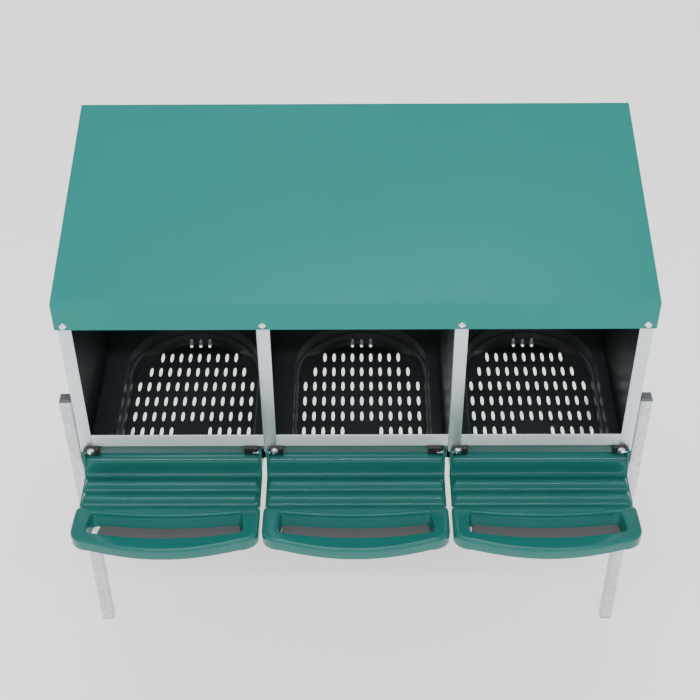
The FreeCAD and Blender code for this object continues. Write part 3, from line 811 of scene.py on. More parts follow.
# ---------------------------------------------------------------------------------------------------------
# Geometry Nodes
# ---------------------------------------------------------------------------------------------------------
class GeoSketch:
    """Short hand for building a geometry node tree."""

    def __init__(self, name: str) -> None:
        """Starts a tree that takes and gives one geometry.

        Args:
            name: Name of the tree.
        """
        self.tree = bpy.data.node_groups.new(name, "GeometryNodeTree")
        face = self.tree.interface
        face.new_socket("Geometry", in_out="INPUT", socket_type="NodeSocketGeometry")
        face.new_socket("Geometry", in_out="OUTPUT", socket_type="NodeSocketGeometry")
        self.entry = self.tree.nodes.new("NodeGroupInput")
        self.exit = self.tree.nodes.new("NodeGroupOutput")

    def size(self, name: str, default: float) -> bpy.types.NodeSocket:
        """Adds a named number to the tree's inputs.

        Args:
            name: Name of the input.
            default: Its default, whole for a count.

        Returns:
            The socket inside the tree.
        """
        kind = "NodeSocketInt" if isinstance(default, int) else "NodeSocketFloat"
        socket = self.tree.interface.new_socket(name, in_out="INPUT", socket_type=kind)
        socket.default_value = default
        return self.entry.outputs[name]

    def add(self, kind: str, inputs: dict | None = None, **settings: object) -> bpy.types.Node:
        """Adds a node.

        Args:
            kind: Type name of the node.
            inputs: Value or output for each input, by name or number.
            settings: Properties to set on it.

        Returns:
            The new node.
        """
        node = self.tree.nodes.new(kind)
        for key, value in settings.items():
            setattr(node, key, value)
        for key, value in (inputs or {}).items():
            for one in value if isinstance(value, list) else [value]:
                if isinstance(one, bpy.types.NodeSocket):
                    self.tree.links.new(one, node.inputs[key])
                else:
                    node.inputs[key].default_value = one
        return node

    def maths(self, operation: str, first: object, second: object = 0.0) -> bpy.types.NodeSocket:
        """Adds a sum.

        Args:
            operation: Name of the operation.
            first: First number or output.
            second: Second number or output.

        Returns:
            The result.
        """
        return self.add("ShaderNodeMath", {0: first, 1: second}, operation=operation).outputs[0]

    def vector(self, x: object, y: object, z: object) -> bpy.types.NodeSocket:
        """Puts three numbers together.

        Args:
            x: First number or output.
            y: Second number or output.
            z: Third number or output.

        Returns:
            The vector.
        """
        return self.add("ShaderNodeCombineXYZ", {0: x, 1: y, 2: z}).outputs[0]

    def moved(self, geometry: bpy.types.NodeSocket, move: bpy.types.NodeSocket | None = None,
              scale: bpy.types.NodeSocket | None = None) -> bpy.types.NodeSocket:
        """Moves or scales a geometry.

        Args:
            geometry: The geometry.
            move: Vector to move it by, if any.
            scale: Vector to scale it by, if any.

        Returns:
            The result.
        """
        changes = {"Geometry": geometry, "Translation": move, "Scale": scale}
        changes = {name: value for name, value in changes.items() if value is not None}
        return self.add("GeometryNodeTransform", changes).outputs[0]

    def lifted(self, geometry: bpy.types.NodeSocket, height: object,
               factor: float = 1.0) -> bpy.types.NodeSocket:
        """Raises a geometry by a height times a factor."""
        return self.moved(geometry, self.vector(0.0, 0.0, self.maths("MULTIPLY", height, factor)))

    def prism(self, corners: int, radius: object, depth: object) -> bpy.types.NodeSocket:
        """Upright prism about the origin, round with many corners."""
        return self.add("GeometryNodeMeshCylinder", {
            "Vertices": corners, "Side Segments": 1, "Fill Segments": 1, "Radius": radius,
            "Depth": depth}).outputs[0]

    def ball(self, rings: int) -> bpy.types.NodeSocket:
        """Ball of radius one about the origin."""
        node = self.add("GeometryNodeMeshUVSphere", {"Segments": 32, "Rings": rings, "Radius": 1.0})
        return node.outputs[0]

    def cuboid(self, x: object, y: object, z: object) -> bpy.types.NodeSocket:
        """Cuboid about the origin."""
        return self.add("GeometryNodeMeshCube", {"Size": self.vector(x, y, z)}).outputs[0]

    def boolean(self, operation: str, first: bpy.types.NodeSocket,
                others: list[bpy.types.NodeSocket]) -> bpy.types.NodeSocket:
        """Cuts or crosses meshes.

        Args:
            operation: DIFFERENCE, UNION or INTERSECT.
            first: Mesh that is worked on.
            others: Meshes that work on it.

        Returns:
            The resulting mesh.
        """
        node = self.add("GeometryNodeMeshBoolean", {"Self Intersection": True}, operation=operation,
                        solver="EXACT")
        if operation == "DIFFERENCE":
            self.tree.links.new(first, node.inputs["Mesh 1"])
            sources = others
        else:
            sources = [first] + others
        for source in sources:
            self.tree.links.new(source, node.inputs["Mesh 2"])
        return node.outputs["Mesh"]

    def close(self, geometry: bpy.types.NodeSocket) -> bpy.types.NodeTree:
        """Ends the tree in real meshes with their finish.

        Args:
            geometry: Geometry to give out.

        Returns:
            The finished tree.
        """
        self.tree.interface.new_socket("Finish", in_out="INPUT", socket_type="NodeSocketMaterial")
        real = self.add("GeometryNodeRealizeInstances", {"Geometry": geometry})
        dressed = self.add("GeometryNodeSetMaterial",
                           {"Geometry": real.outputs[0], "Material": self.entry.outputs["Finish"]})
        self.tree.links.new(dressed.outputs[0], self.exit.inputs["Geometry"])
        return self.tree


def grow(obj: bpy.types.Object, tree: bpy.types.NodeTree, values: dict[str, object],
         material: bpy.types.Material, sharp: float = 32.0) -> bpy.types.Object:
    """Runs a geometry node tree on an object and keeps the plain result.

    Args:
        obj: The object that feeds the tree.
        tree: The tree.
        values: Number for each named input.
        material: The finish.
        sharp: Angle in degrees for the sharp edges.

    Returns:
        The same object with a plain mesh.
    """
    modifier = obj.modifiers.new("grow", "NODES")
    modifier.node_group = tree
    names = {item.name: item.identifier for item in tree.interface.items_tree
             if item.item_type == "SOCKET" and item.in_out == "INPUT"}
    for name, value in {**values, "Finish": material}.items():
        modifier[names[name]] = value
    bake(obj, sharp)
    if not obj.data.materials:
        obj.data.materials.append(material)
    return obj


class FastenerKit:
    """Trees that set a screw, bolt, rivet or nut on every point of a host mesh, along its facing."""

    def __init__(self, palette: Palette) -> None:
        """Builds the trees.

        Args:
            palette: The object's finishes.
        """
        self.material = palette.fastener
        self.domed = self._domed_tree(False)
        self.crossed = self._domed_tree(True)
        self.nut = self._nut_tree()

    @staticmethod
    def _on_points(sketch: GeoSketch, instance: bpy.types.NodeSocket) -> bpy.types.NodeSocket:
        """Puts an instance on every point, turned along the point's facing.

        Args:
            sketch: Tree under construction.
            instance: Geometry to repeat, made along Z.

        Returns:
            The instances.
        """
        facing = sketch.add("GeometryNodeInputNamedAttribute", {"Name": "facing"}, data_type="FLOAT_VECTOR")
        turn = sketch.add("FunctionNodeAlignRotationToVector", {"Vector": facing.outputs["Attribute"]},
                          axis="Z")
        points = sketch.add("GeometryNodeMeshToPoints", {"Mesh": sketch.entry.outputs["Geometry"]})
        node = sketch.add("GeometryNodeInstanceOnPoints",
                          {"Points": points.outputs[0], "Instance": instance, "Rotation": turn.outputs[0]})
        return node.outputs[0]

    def _domed_tree(self, crossed: bool) -> bpy.types.NodeTree:
        """Head like the cap of an ellipsoid, with a shank.

        Args:
            crossed: Whether the head has a cross recess.

        Returns:
            The tree.
        """
        sketch = GeoSketch("crossed screw" if crossed else "domed bolt")
        radius = sketch.size("Head Radius", 0.006)
        height = sketch.size("Head Height", 0.003)
        shank = sketch.size("Shank Radius", 0.002)
        length = sketch.size("Shank Length", 0.010)
        cap = sketch.moved(sketch.ball(20), scale=sketch.vector(radius, radius, height))
        across = sketch.maths("MULTIPLY", radius, 3.0)
        slab = sketch.cuboid(across, across, sketch.maths("MULTIPLY", height, 2.0))
        head = sketch.boolean("INTERSECT", cap, [sketch.lifted(slab, height)])
        if crossed:
            long_arm = sketch.maths("MULTIPLY", radius, 0.95)
            short_arm = sketch.maths("MULTIPLY", radius, 0.22)
            arms = [sketch.lifted(sketch.cuboid(x, y, height), height, 1.05)
                    for x, y in ((long_arm, short_arm), (short_arm, long_arm))]
            head = sketch.boolean("DIFFERENCE", head, arms)
        sunk = sketch.lifted(sketch.prism(20, shank, length), length, -0.5)
        whole = sketch.add("GeometryNodeJoinGeometry", {"Geometry": [head, sunk]})
        return sketch.close(self._on_points(sketch, whole.outputs[0]))

    def _nut_tree(self) -> bpy.types.NodeTree:
        """Hexagon with rounded corners and a bore."""
        sketch = GeoSketch("hexagon nut")
        corner = sketch.size("Corner Radius", 0.005)
        height = sketch.size("Height", 0.004)
        bore = sketch.size("Bore", 0.002)
        wide = sketch.maths("MULTIPLY", corner, 1.06)
        dome = sketch.vector(wide, wide, sketch.maths("MULTIPLY", height, 1.1))
        trim = sketch.moved(sketch.ball(16), scale=dome)
        body = sketch.boolean("INTERSECT", sketch.prism(6, corner, height), [trim])
        drill = sketch.prism(20, bore, sketch.maths("MULTIPLY", height, 2.0))
        nut = sketch.boolean("DIFFERENCE", body, [drill])
        return sketch.close(self._on_points(sketch, sketch.lifted(nut, height, 0.5)))

    def set(self, name: str, tree: bpy.types.NodeTree, seats: Sequence[tuple[Point, Point]],
            values: dict[str, float], node: str) -> bpy.types.Object:
        """Makes one group of fasteners and hands it to the frame.

        Args:
            name: Name of the piece.
            tree: Which fastener.
            seats: Where each one stands, in box millimetres, and which way it faces.
            values: Sizes in metres for the tree's inputs.
            node: The frame's node that it replaces.

        Returns:
            The piece.
        """
        mesh = bpy.data.meshes.new(name)
        mesh.from_pydata([place(*seat) for seat, _ in seats], [], [])
        facing = mesh.attributes.new("facing", "FLOAT_VECTOR", "POINT")
        facing.data.foreach_set("vector", [c for _, direction in seats for c in direction])
        obj = bpy.data.objects.new(name, mesh)
        bpy.context.scene.collection.objects.link(obj)
        grow(obj, tree, values, self.material)
        return hand_over(obj, Body.BOX, Slot.FASTENER, node)


def hand_over(obj: bpy.types.Object, body: Body, slot: Slot, *nodes: str) -> bpy.types.Object:
    """Tells the frame what a finished piece rides on and stands for.

    Args:
        obj: The piece.
        body: Body that it moves with.
        slot: Its material slot; not used.
        nodes: Nodes of the frame that it replaces.

    Returns:
        The piece.
    """
    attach(obj, body.value)
    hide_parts(*nodes)
    log.info("%s: %d faces, rides on %s", obj.name, len(obj.data.polygons), body.value)
    return obj


# ---------------------------------------------------------------------------------------------------------
# Sheet-metal body
# ---------------------------------------------------------------------------------------------------------
@dataclass(frozen=True)
class Casing:
    """Common sizes of the sheet-metal body, in millimetres."""
    pitch: float = 300.0
    half: float = 450.0
    depth: float = 400.0
    sheet: float = 1.0
    roof_half: float = 454.3
    roof_front: float = -3.0
    roof_back: float = 411.0
    roof_front_z: float = 766.0
    roof_back_z: float = 851.0
    fascia: float = 51.0
    lip: float = 25.0
    foot_z: float = 404.0
    sill_z: float = 483.5
    bend_z: float = 459.5
    screw_z: float = 722.5
    roof_gap: float = 0.3

    def roof_z(self, y: float) -> float:
        """Height of the roof's upper face at a depth."""
        slope = (self.roof_back_z - self.roof_front_z) / (self.roof_back - self.roof_front)
        return self.roof_front_z + (y - self.roof_front) * slope

    def under_roof_z(self, y: float) -> float:
        """Upper edge of the sheets that stand under the roof, at a depth."""
        return self.roof_z(y) - self.sheet - self.roof_gap

    def post_x(self, index: int) -> float:
        """Outer edge of a post, counted from the left."""
        return -self.half + index * self.pitch

    def screw_x(self, index: int) -> float:
        """Middle of a post's flange."""
        return self.post_x(index) + (10.5 if index < 3 else -10.5)


@dataclass
class Roof:
    """Sloping cover folded down all round, with a deep hemmed fascia in front."""
    casing: Casing
    bend: float = 3.2
    corner: float = 2.4
    hem: float = 12.0
    lip_start: float = 8.0
    lip_run: float = 17.0

    def _drop(self, y: float) -> float:
        """Lower edge of the lip at a depth.

        Args:
            y: Depth behind the front posts.

        Returns:
            Height of the edge.
        """
        foot = self.casing.roof_front_z - self.casing.fascia
        from_front = y - self.casing.roof_front
        lip = self.casing.roof_z(y) - self.casing.lip
        weight = min(1.0, max(0.0, (from_front - self.lip_start) / self.lip_run))
        return foot + (lip - foot) * weight

    def _plan(self, inset: float) -> list[Flat]:
        """Outline in plan, with points close together near the front corners.

        Args:
            inset: Distance inside the roof's edge.

        Returns:
            The closed outline.
        """
        c = self.casing
        left, right = -c.roof_half + inset, c.roof_half - inset
        front, back = c.roof_front + inset, c.roof_back - inset
        r = max(self.corner - inset, 0.05)
        stations = [c.roof_front + d for d in (8.0, 12.0, 16.0, 20.0, 25.0, 60.0, 140.0, 240.0, 330.0)]
        plan = [(x, front) for x in np.linspace(left + r, right - r, 25)]
        plan += arc((right - r, front + r), r, -90, 0, 4)[1:]
        plan += [(right, y) for y in stations]
        plan += arc((right - r, back - r), r, 0, 90, 4)
        plan += [(x, back) for x in np.linspace(right - r, left + r, 25)[1:-1]]
        plan += arc((left + r, back - r), r, 90, 180, 4)
        plan += [(left, y) for y in reversed(stations)]
        plan += arc((left + r, front + r), r, 180, 270, 4)[:-1]
        return plan

    def build(self, palette: Palette) -> None:
        """Makes the roof.

        Args:
            palette: The object's finishes.
        """
        c, r = self.casing, self.bend
        rings = []
        for step in range(7):
            angle = math.radians(90 * step / 6)
            inset, drop = r * (1 - math.sin(angle)), r * (1 - math.cos(angle))
            rings.append([(x, y, c.roof_z(y) - drop) for x, y in self._plan(inset)])
        outer = self._plan(0.0)
        rings.append([(x, y, (c.roof_z(y) + self._drop(y)) / 2) for x, y in outer])
        rings.append([(x, y, self._drop(y)) for x, y in outer])
        draft = Draft()
        laid = draft.loft(rings)
        draft.faces.append(tuple(laid[0]))
        shell = thicken(draft.build("roof_shell", palette.roof), c.sheet, even=True)
        foot = c.roof_front_z - c.fascia
        inner_y, low = -0.15, foot + 0.1
        fold = rounded_path([(c.roof_front + 0.6, low), (inner_y, low), (inner_y, foot + self.hem)], 0.8, 3)
        hem = Draft()
        hem.extrude(ribbon(fold, 0.9), 1.5 - c.roof_half, c.roof_half - 1.5)
        hem_piece = hem.build("roof_hem", palette.roof)
        roof = merge_pieces("roof_cover_shell", [shell, hem_piece])
        hand_over(roof, Body.BOX, Slot.ROOF, "roof_cover")


@dataclass
class Uprights:
    """The two side panels and two dividers: web, front flange and tab, and ledges for the pans."""
    casing: Casing
    flange: float = 21.0
    tab: float = 9.0
    tab_drop: float = 14.0
    ledge: float = 15.0
    notch_y: float = 26.0
    notch_z: float = 446.0

    def _panel(self, index: int, palette: Palette) -> None:
        """Makes one panel.

        Args:
            index: Number of the post from the left.
            palette: The object's finishes.
        """
        c = self.casing
        inward = 1.0 if index < 3 else -1.0
        divider = index in (1, 2)
        outer = c.post_x(index)
        names = ("left_side_panel", "left_divider", "right_divider", "right_side_panel")
        top = c.roof_back_z
        back = c.depth - c.sheet
        fold = rounded_path([(outer + inward * self.flange, 0.0), (outer, 0.0), (outer, back)], 1.8, 5)
        section = ribbon(fold, -c.sheet * inward)
        body = Draft()
        body.loft([[(x, y, z) for x, y in section] for z in (c.foot_z, top)], caps=True)
        piece = body.build("upright", palette.sheet)
        knife = Draft()
        x0, x1 = outer - 40, outer + 40
        front_z, back_z = c.under_roof_z(0), c.under_roof_z(back)
        rise = (back_z - front_z) / back
        over = 20.0
        wedge = [(-over, front_z - over * rise), (back + over, back_z + over * rise),
                 (back + over, top + 2 * over), (-over, top + 2 * over)]
        knife.extrude(wedge, x0, x1)
        piece = carve(piece, knife)
        knife = Draft()
        knife.block((x0, -5, c.foot_z - 5), (x1, self.notch_y, self.notch_z))
        piece = carve(piece, knife)
        knife = Draft()
        tab_edge = outer + inward * self.tab
        far = outer + inward * 40
        knife.block((min(tab_edge, far), -5, self.notch_z - 5), (max(tab_edge, far), 1.02, c.bend_z))
        if divider:
            knife.block((outer - 5, 1.02, self.notch_z - 5), (outer + 30, 8.4, c.sill_z + 0.3))
            knife.block((outer - 5, back - 24.3, c.foot_z - 5), (outer + 5, back + 5, c.foot_z + 1.3))
            knife.block((outer - 5, back - 1.3, c.foot_z + 1.2), (outer + 5, back + 5, c.foot_z + 20.3))
        piece = carve(piece, knife)
        corner = Draft()
        r = self.tab / 2
        low = c.bend_z - self.tab_drop
        middle = outer + inward * r
        curve = arc((middle, low + r), r, 180, 360, 14)
        left, right = middle - r - 3, middle + r + 3
        outline = [(left, low - 6), (right, low - 6), (right, low + r), *curve[::-1], (left, low + r)]
        corner.loft([[(x, y, z) for x, z in outline] for y in (-3.0, 1.02)], caps=True)
        piece = carve(piece, corner)
        shelf = Draft()
        near = outer - inward * self.ledge if divider else outer
        ends = sorted((near, outer + inward * (self.ledge + c.sheet)))
        shelf.block((ends[0], self.notch_y, c.foot_z), (ends[1], back - 24.3, c.foot_z + c.sheet))
        whole = merge_pieces(names[index] + "_fold", [piece, shelf.build("ledge", palette.sheet)])
        bevel(whole, 0.2, 1)
        hand_over(whole, Body.BOX, Slot.SHEET, names[index])

    def build(self, palette: Palette) -> None:
        """Makes all four panels.

        Args:
            palette: The object's finishes.
        """
        for index in range(4):
            self._panel(index, palette)


@dataclass
class Rails:
    """The hemmed sill in front, the angle behind and the back panel."""
    casing: Casing
    step: float = 6.0
    front_shelf: float = 15.0
    rear_shelf: float = 24.0
    upstand: float = 20.0
    notch: float = 4.0
    hem: float = 6.5
    hem_y: float = 3.6
    back_foot_z: float = 330.0

    def _sill(self, palette: Palette) -> None:
        """Makes the sill.

        Args:
            palette: The object's finishes.
        """
        c = self.casing
        deep = c.sheet + self.step
        low = c.bend_z
        fold = [(self.hem_y, c.sill_z - self.hem), (self.hem_y, c.sill_z), (c.sheet, c.sill_z),
                (c.sheet, low - 1.0), (deep, low - 1.0), (deep, c.foot_z),
                (deep + self.front_shelf, c.foot_z)]
        draft = Draft()
        inner = c.half - c.sheet
        draft.extrude(ribbon(rounded_path(fold, 1.1, 6), c.sheet), -inner, inner)
        piece = draft.build("front_rail_fold", palette.sill)
        knife = Draft()
        for index in (1, 2):
            middle = c.post_x(index)
            knife.block((middle - self.notch, deep - 1, c.foot_z - 5), (middle + self.notch, 40, 446.0))
        carve(piece, knife)
        hand_over(piece, Body.BOX, Slot.SHEET, "front_rail")

    def _rear(self, palette: Palette) -> None:
        """Makes the rear rail and the back panel.

        Args:
            palette: The object's finishes.
        """
        c = self.casing
        back = c.depth - c.sheet
        inner = c.half - c.sheet
        angle = [(back - self.rear_shelf, c.foot_z), (back, c.foot_z), (back, c.foot_z + self.upstand)]
        draft = Draft()
        draft.extrude(ribbon(rounded_path(angle, 1.6), c.sheet), -inner, inner)
        hand_over(draft.build("rear_rail_fold", palette.sheet), Body.BOX, Slot.SHEET, "rear_rail")
        top = c.under_roof_z(c.depth)
        low = self.back_foot_z
        fold = rounded_path([(c.depth - 12, low), (c.depth, low), (c.depth, top)], 1.8)
        panel = Draft()
        panel.extrude(ribbon(fold, c.sheet), -c.half, c.half)
        piece = panel.build("back_panel_fold", palette.sheet)
        knife = Draft()
        for side in (-1, 1):
            ends = sorted((side * (c.half - 25), side * (c.half + 5)))
            knife.block((ends[0], c.depth - 20, low - 5), (ends[1], back - 0.01, low + 3))
        carve(piece, knife)
        hand_over(piece, Body.BOX, Slot.SHEET, "back_panel")

    def build(self, palette: Palette) -> None:
        """Makes the sill, the rear rail and the back panel.

        Args:
            palette: The object's finishes.
        """
        self._sill(palette)
        self._rear(palette)


# ---------------------------------------------------------------------------------------------------------
# Nest pans
# ---------------------------------------------------------------------------------------------------------
@dataclass
class NestPan:
    """Moulded pan: flat margin and a horseshoe basin whose floor is pierced by rows of slots."""
    bay: Bay
    width: float = 293.0
    front: float = 16.0
    back: float = 383.0
    top: float = 407.3
    wall: float = 2.0
    radius: float = 118.0
    arc_y: float = 252.0
    basin_front: float = 25.0
    corner: float = 22.0
    depth: float = 52.0
    step_z: float = 381.0
    slot_pitch: float = 16.95
    row_pitch: float = 38.3
    first_row: float = 59.0
    back_row: float = 359.0
    lip_round: float = 3.5
    wall_inset: float = 5.0
    bead: float = 2.4
    fillet: float = 6.0
    back_fillet: float = 19.0

    @property
    def middle(self) -> float:
        """Middle of the pan across the box."""
        return self.bay.middle + (0.0 if self.bay is Bay.RIGHT else 0.5)

    @property
    def basin(self) -> float:
        """Middle of the basin, a little to the right of the pan's."""
        return self.bay.middle + 10.5

    def _outline(self, inset: float) -> list[Flat]:
        """Horseshoe outline of the basin, from the right side backwards round to the front.

        Args:
            inset: Distance inside the rim.

        Returns:
            The closed outline, with the same number of points for every inset.
        """
        x0 = self.basin
        r = self.radius - inset
        k = self.corner - inset * 0.5
        front = self.basin_front + inset
        outline = arc((x0, self.arc_y), r, 0, 180, 72)
        outline += [(x0 - r, y) for y in np.linspace(self.arc_y, front + k, 24)[1:]]
        outline += arc((x0 - r + k, front + k), k, 180, 270, 12)[1:]
        outline += [(x, front) for x in np.linspace(x0 - r + k, x0 + r - k, 24)[1:]]
        outline += arc((x0 + r - k, front + k), k, 270, 360, 12)[1:]
        outline += [(x0 + r, y) for y in np.linspace(front + k, self.arc_y, 24)[1:-1]]
        return outline

    def _margin(self, inset: float) -> list[Flat]:
        """Rounded rectangle round the basin, with a point for every point of the basin's outline.

        Args:
            inset: Distance inside the pan's edge.

        Returns:
            The closed outline.
        """
        x0 = self.basin
        centre = Vector((x0, 200.0))
        half, r = self.width / 2 - inset, 8.0 - inset
        low = Vector((self.middle - half, self.front + inset))
        high = Vector((self.middle + half, self.back - inset))
        ring = []
        for x, y in self._outline(0.0):
            ray = Vector((x, y)) - centre
            scale = min(((high.x if ray.x > 0 else low.x) - centre.x) / ray.x if abs(ray.x) > 1e-6 else 1e9,
                        ((high.y if ray.y > 0 else low.y) - centre.y) / ray.y if abs(ray.y) > 1e-6 else 1e9)
            point = centre + ray * scale
            core = Vector((min(max(point.x, low.x + r), high.x - r),
                           min(max(point.y, low.y + r), high.y - r)))
            if (point - core).length > r and point.x != core.x and point.y != core.y:
                point = core + (point - core).normalized() * r
            ring.append((point.x, point.y))
        return ring

    def _fillet(self, x: float, y: float) -> float:
        """Radius between wall and floor, which grows towards the middle of the back.

        Args:
            x: Position across.
            y: Position along.

        Returns:
            The radius.
        """
        angle = math.degrees(math.atan2(y - self.arc_y, x - self.basin))
        weight = max(0.0, 1.0 - abs(angle - 90.0) / 38.0)
        return self.fillet + (self.back_fillet - self.fillet) * weight * weight * (3 - 2 * weight)

    def _shell(self) -> Draft:
        """Upper skin of the pan."""
        floor = self.top - self.depth
        rings = [[(x, y, self.top - 0.5) for x, y in self._margin(0.0)],
                 [(x, y, self.top - 0.12) for x, y in self._margin(0.35)],
                 [(x, y, self.top) for x, y in self._margin(0.9)]]
        for angle in (0, 18, 36, 54, 72, 90):
            a = math.radians(angle)
            rings.append([(x, y, self.top - self.lip_round * (1 - math.cos(a)))
                          for x, y in self._outline(-self.lip_round * (1 - math.sin(a)))])
        for rise, inset in ((2.4, 0.5), (0.7, 0.9), (0.0, 1.9)):
            rings.append([(x, y, self.step_z + rise) for x, y in self._outline(inset)])
        for angle in (0, 22, 45, 68, 90):
            a = math.radians(angle)
            rings.append([(x, y, self.step_z - self.bead * (1 - math.cos(a)))
                          for x, y in self._outline(self.wall_inset - self.bead * (1 - math.sin(a)))])
        base = self._outline(self.wall_inset)
        radii = [self._fillet(x, y) for x, y in base]
        deepest = self._outline(self.wall_inset + 30.0)
        inward = [(Vector(b) - Vector(a)).normalized() for a, b in zip(base, deepest)]
        for angle in (0, 15, 30, 45, 60, 75, 90):
            a = math.radians(angle)
            ring = []
            for (x, y), r, n in zip(base, radii, inward):
                reach = r * (1 - math.cos(a))
                ring.append((x + n.x * reach, y + n.y * reach, floor + r * (1 - math.sin(a))))
            rings.append(ring)
        draft = Draft()
        laid = draft.loft(rings)
        draft.faces.append(tuple(laid[-1]))
        return draft

    @staticmethod
    def perforation_tree() -> bpy.types.NodeTree:
        """Cuts rows of round-ended slots out of a basin's floor, apart from a bridge in two rows."""
        sketch = GeoSketch("basin slots")
        x0, y0 = sketch.size("Middle X", 0.0), sketch.size("First Row Y", 0.0)
        floor = sketch.size("Floor Z", 0.355)
        pitch, rows_apart = sketch.size("Slot Pitch", 0.01695), sketch.size("Row Pitch", 0.0383)
        width, length = sketch.size("Slot Width", 0.0061), sketch.size("Slot Length", 0.0245)
        columns, rows = sketch.size("Columns", 13), sketch.size("Rows", 8)
        reach, arc_row = sketch.size("Floor Reach", 0.104), sketch.size("Arc Y", 0.0)
        back_y, back_length = sketch.size("Back Row Y", 0.0), sketch.size("Back Slot Length", 0.012)

        def cutter(long: bpy.types.NodeSocket) -> bpy.types.NodeSocket:
            """Upright knife with the outline of a long ellipse.

            Args:
                long: Length of the ellipse.

            Returns:
                Its mesh.
            """
            return sketch.moved(sketch.prism(20, 0.5, 0.06), scale=sketch.vector(width, long, 1.0))

        wide = sketch.maths("MULTIPLY", pitch, sketch.maths("SUBTRACT", columns, 1.0))
        tall = sketch.maths("MULTIPLY", rows_apart, sketch.maths("SUBTRACT", rows, 1.0))
        grid = sketch.add("GeometryNodeMeshGrid", {
            "Size X": wide, "Size Y": tall, "Vertices X": columns, "Vertices Y": rows})
        centre_y = sketch.maths("ADD", y0, sketch.maths("MULTIPLY", tall, 0.5))
        field = sketch.moved(grid.outputs[0], sketch.vector(x0, centre_y, floor))
        spot = sketch.add("ShaderNodeSeparateXYZ", {0: sketch.add("GeometryNodeInputPosition").outputs[0]})
        across = sketch.maths("ABSOLUTE", sketch.maths("SUBTRACT", spot.outputs[0], x0))
        along = spot.outputs[1]
        beyond = sketch.maths("MAXIMUM", sketch.maths("SUBTRACT", along, arc_row), 0.0)
        far = sketch.maths("SQRT", sketch.maths("ADD", sketch.maths("MULTIPLY", across, across),
                                                sketch.maths("MULTIPLY", beyond, beyond)))
        outside = sketch.maths("GREATER_THAN", far, reach)
        near_middle = sketch.maths("LESS_THAN", across, sketch.maths("MULTIPLY", pitch, 1.5))
        row = sketch.maths("DIVIDE", sketch.maths("SUBTRACT", along, y0), rows_apart)
        bridged = sketch.maths("MULTIPLY", sketch.maths("GREATER_THAN", row, 0.5),
                               sketch.maths("LESS_THAN", row, 2.5))
        drop = sketch.maths("MAXIMUM", outside, sketch.maths("MULTIPLY", near_middle, bridged))
        kept = sketch.add("GeometryNodeDeleteGeometry", {"Geometry": field, "Selection": drop},
                          domain="POINT")
        floor_slots = sketch.add("GeometryNodeInstanceOnPoints", {
            "Points": kept.outputs[0], "Instance": cutter(length)})
        start = sketch.vector(sketch.maths("SUBTRACT", x0, pitch), back_y, floor)
        last = sketch.add("GeometryNodeMeshLine", {
            "Count": 3, "Start Location": start, "Offset": sketch.vector(pitch, 0.0, 0.0)}, mode="OFFSET")
        back_slots = sketch.add("GeometryNodeInstanceOnPoints", {
            "Points": last.outputs[0], "Instance": cutter(back_length)})
        knives = sketch.add("GeometryNodeJoinGeometry", {
            "Geometry": [floor_slots.outputs[0], back_slots.outputs[0]]})
        real = sketch.add("GeometryNodeRealizeInstances", {"Geometry": knives.outputs[0]})
        cut = sketch.boolean("DIFFERENCE", sketch.entry.outputs["Geometry"], [real.outputs[0]])
        return sketch.close(cut)

    def build(self, palette: Palette, tree: bpy.types.NodeTree) -> None:
        """Makes the pan.

        Args:
            palette: The object's finishes.
            tree: Tree that cuts the slots.
        """
        name = self.bay.value + "_nest_pan"
        obj = self._shell().build(name + "_moulding", palette.pan, outward=False)
        face_up(obj, lambda face: len(face.verts))
        thicken(obj, self.wall)
        grow(obj, tree, {
            "Middle X": self.basin * MM,
            "First Row Y": self.first_row * MM + FRONT_Y,
            "Floor Z": (self.top - self.depth) * MM,
            "Slot Pitch": self.slot_pitch * MM,
            "Row Pitch": self.row_pitch * MM,
            "Arc Y": self.arc_y * MM + FRONT_Y,
            "Back Row Y": self.back_row * MM + FRONT_Y,
        }, palette.pan, 30.0)
        hand_over(obj, Body(self.bay.value + "_pan"), Slot.PAN, name)


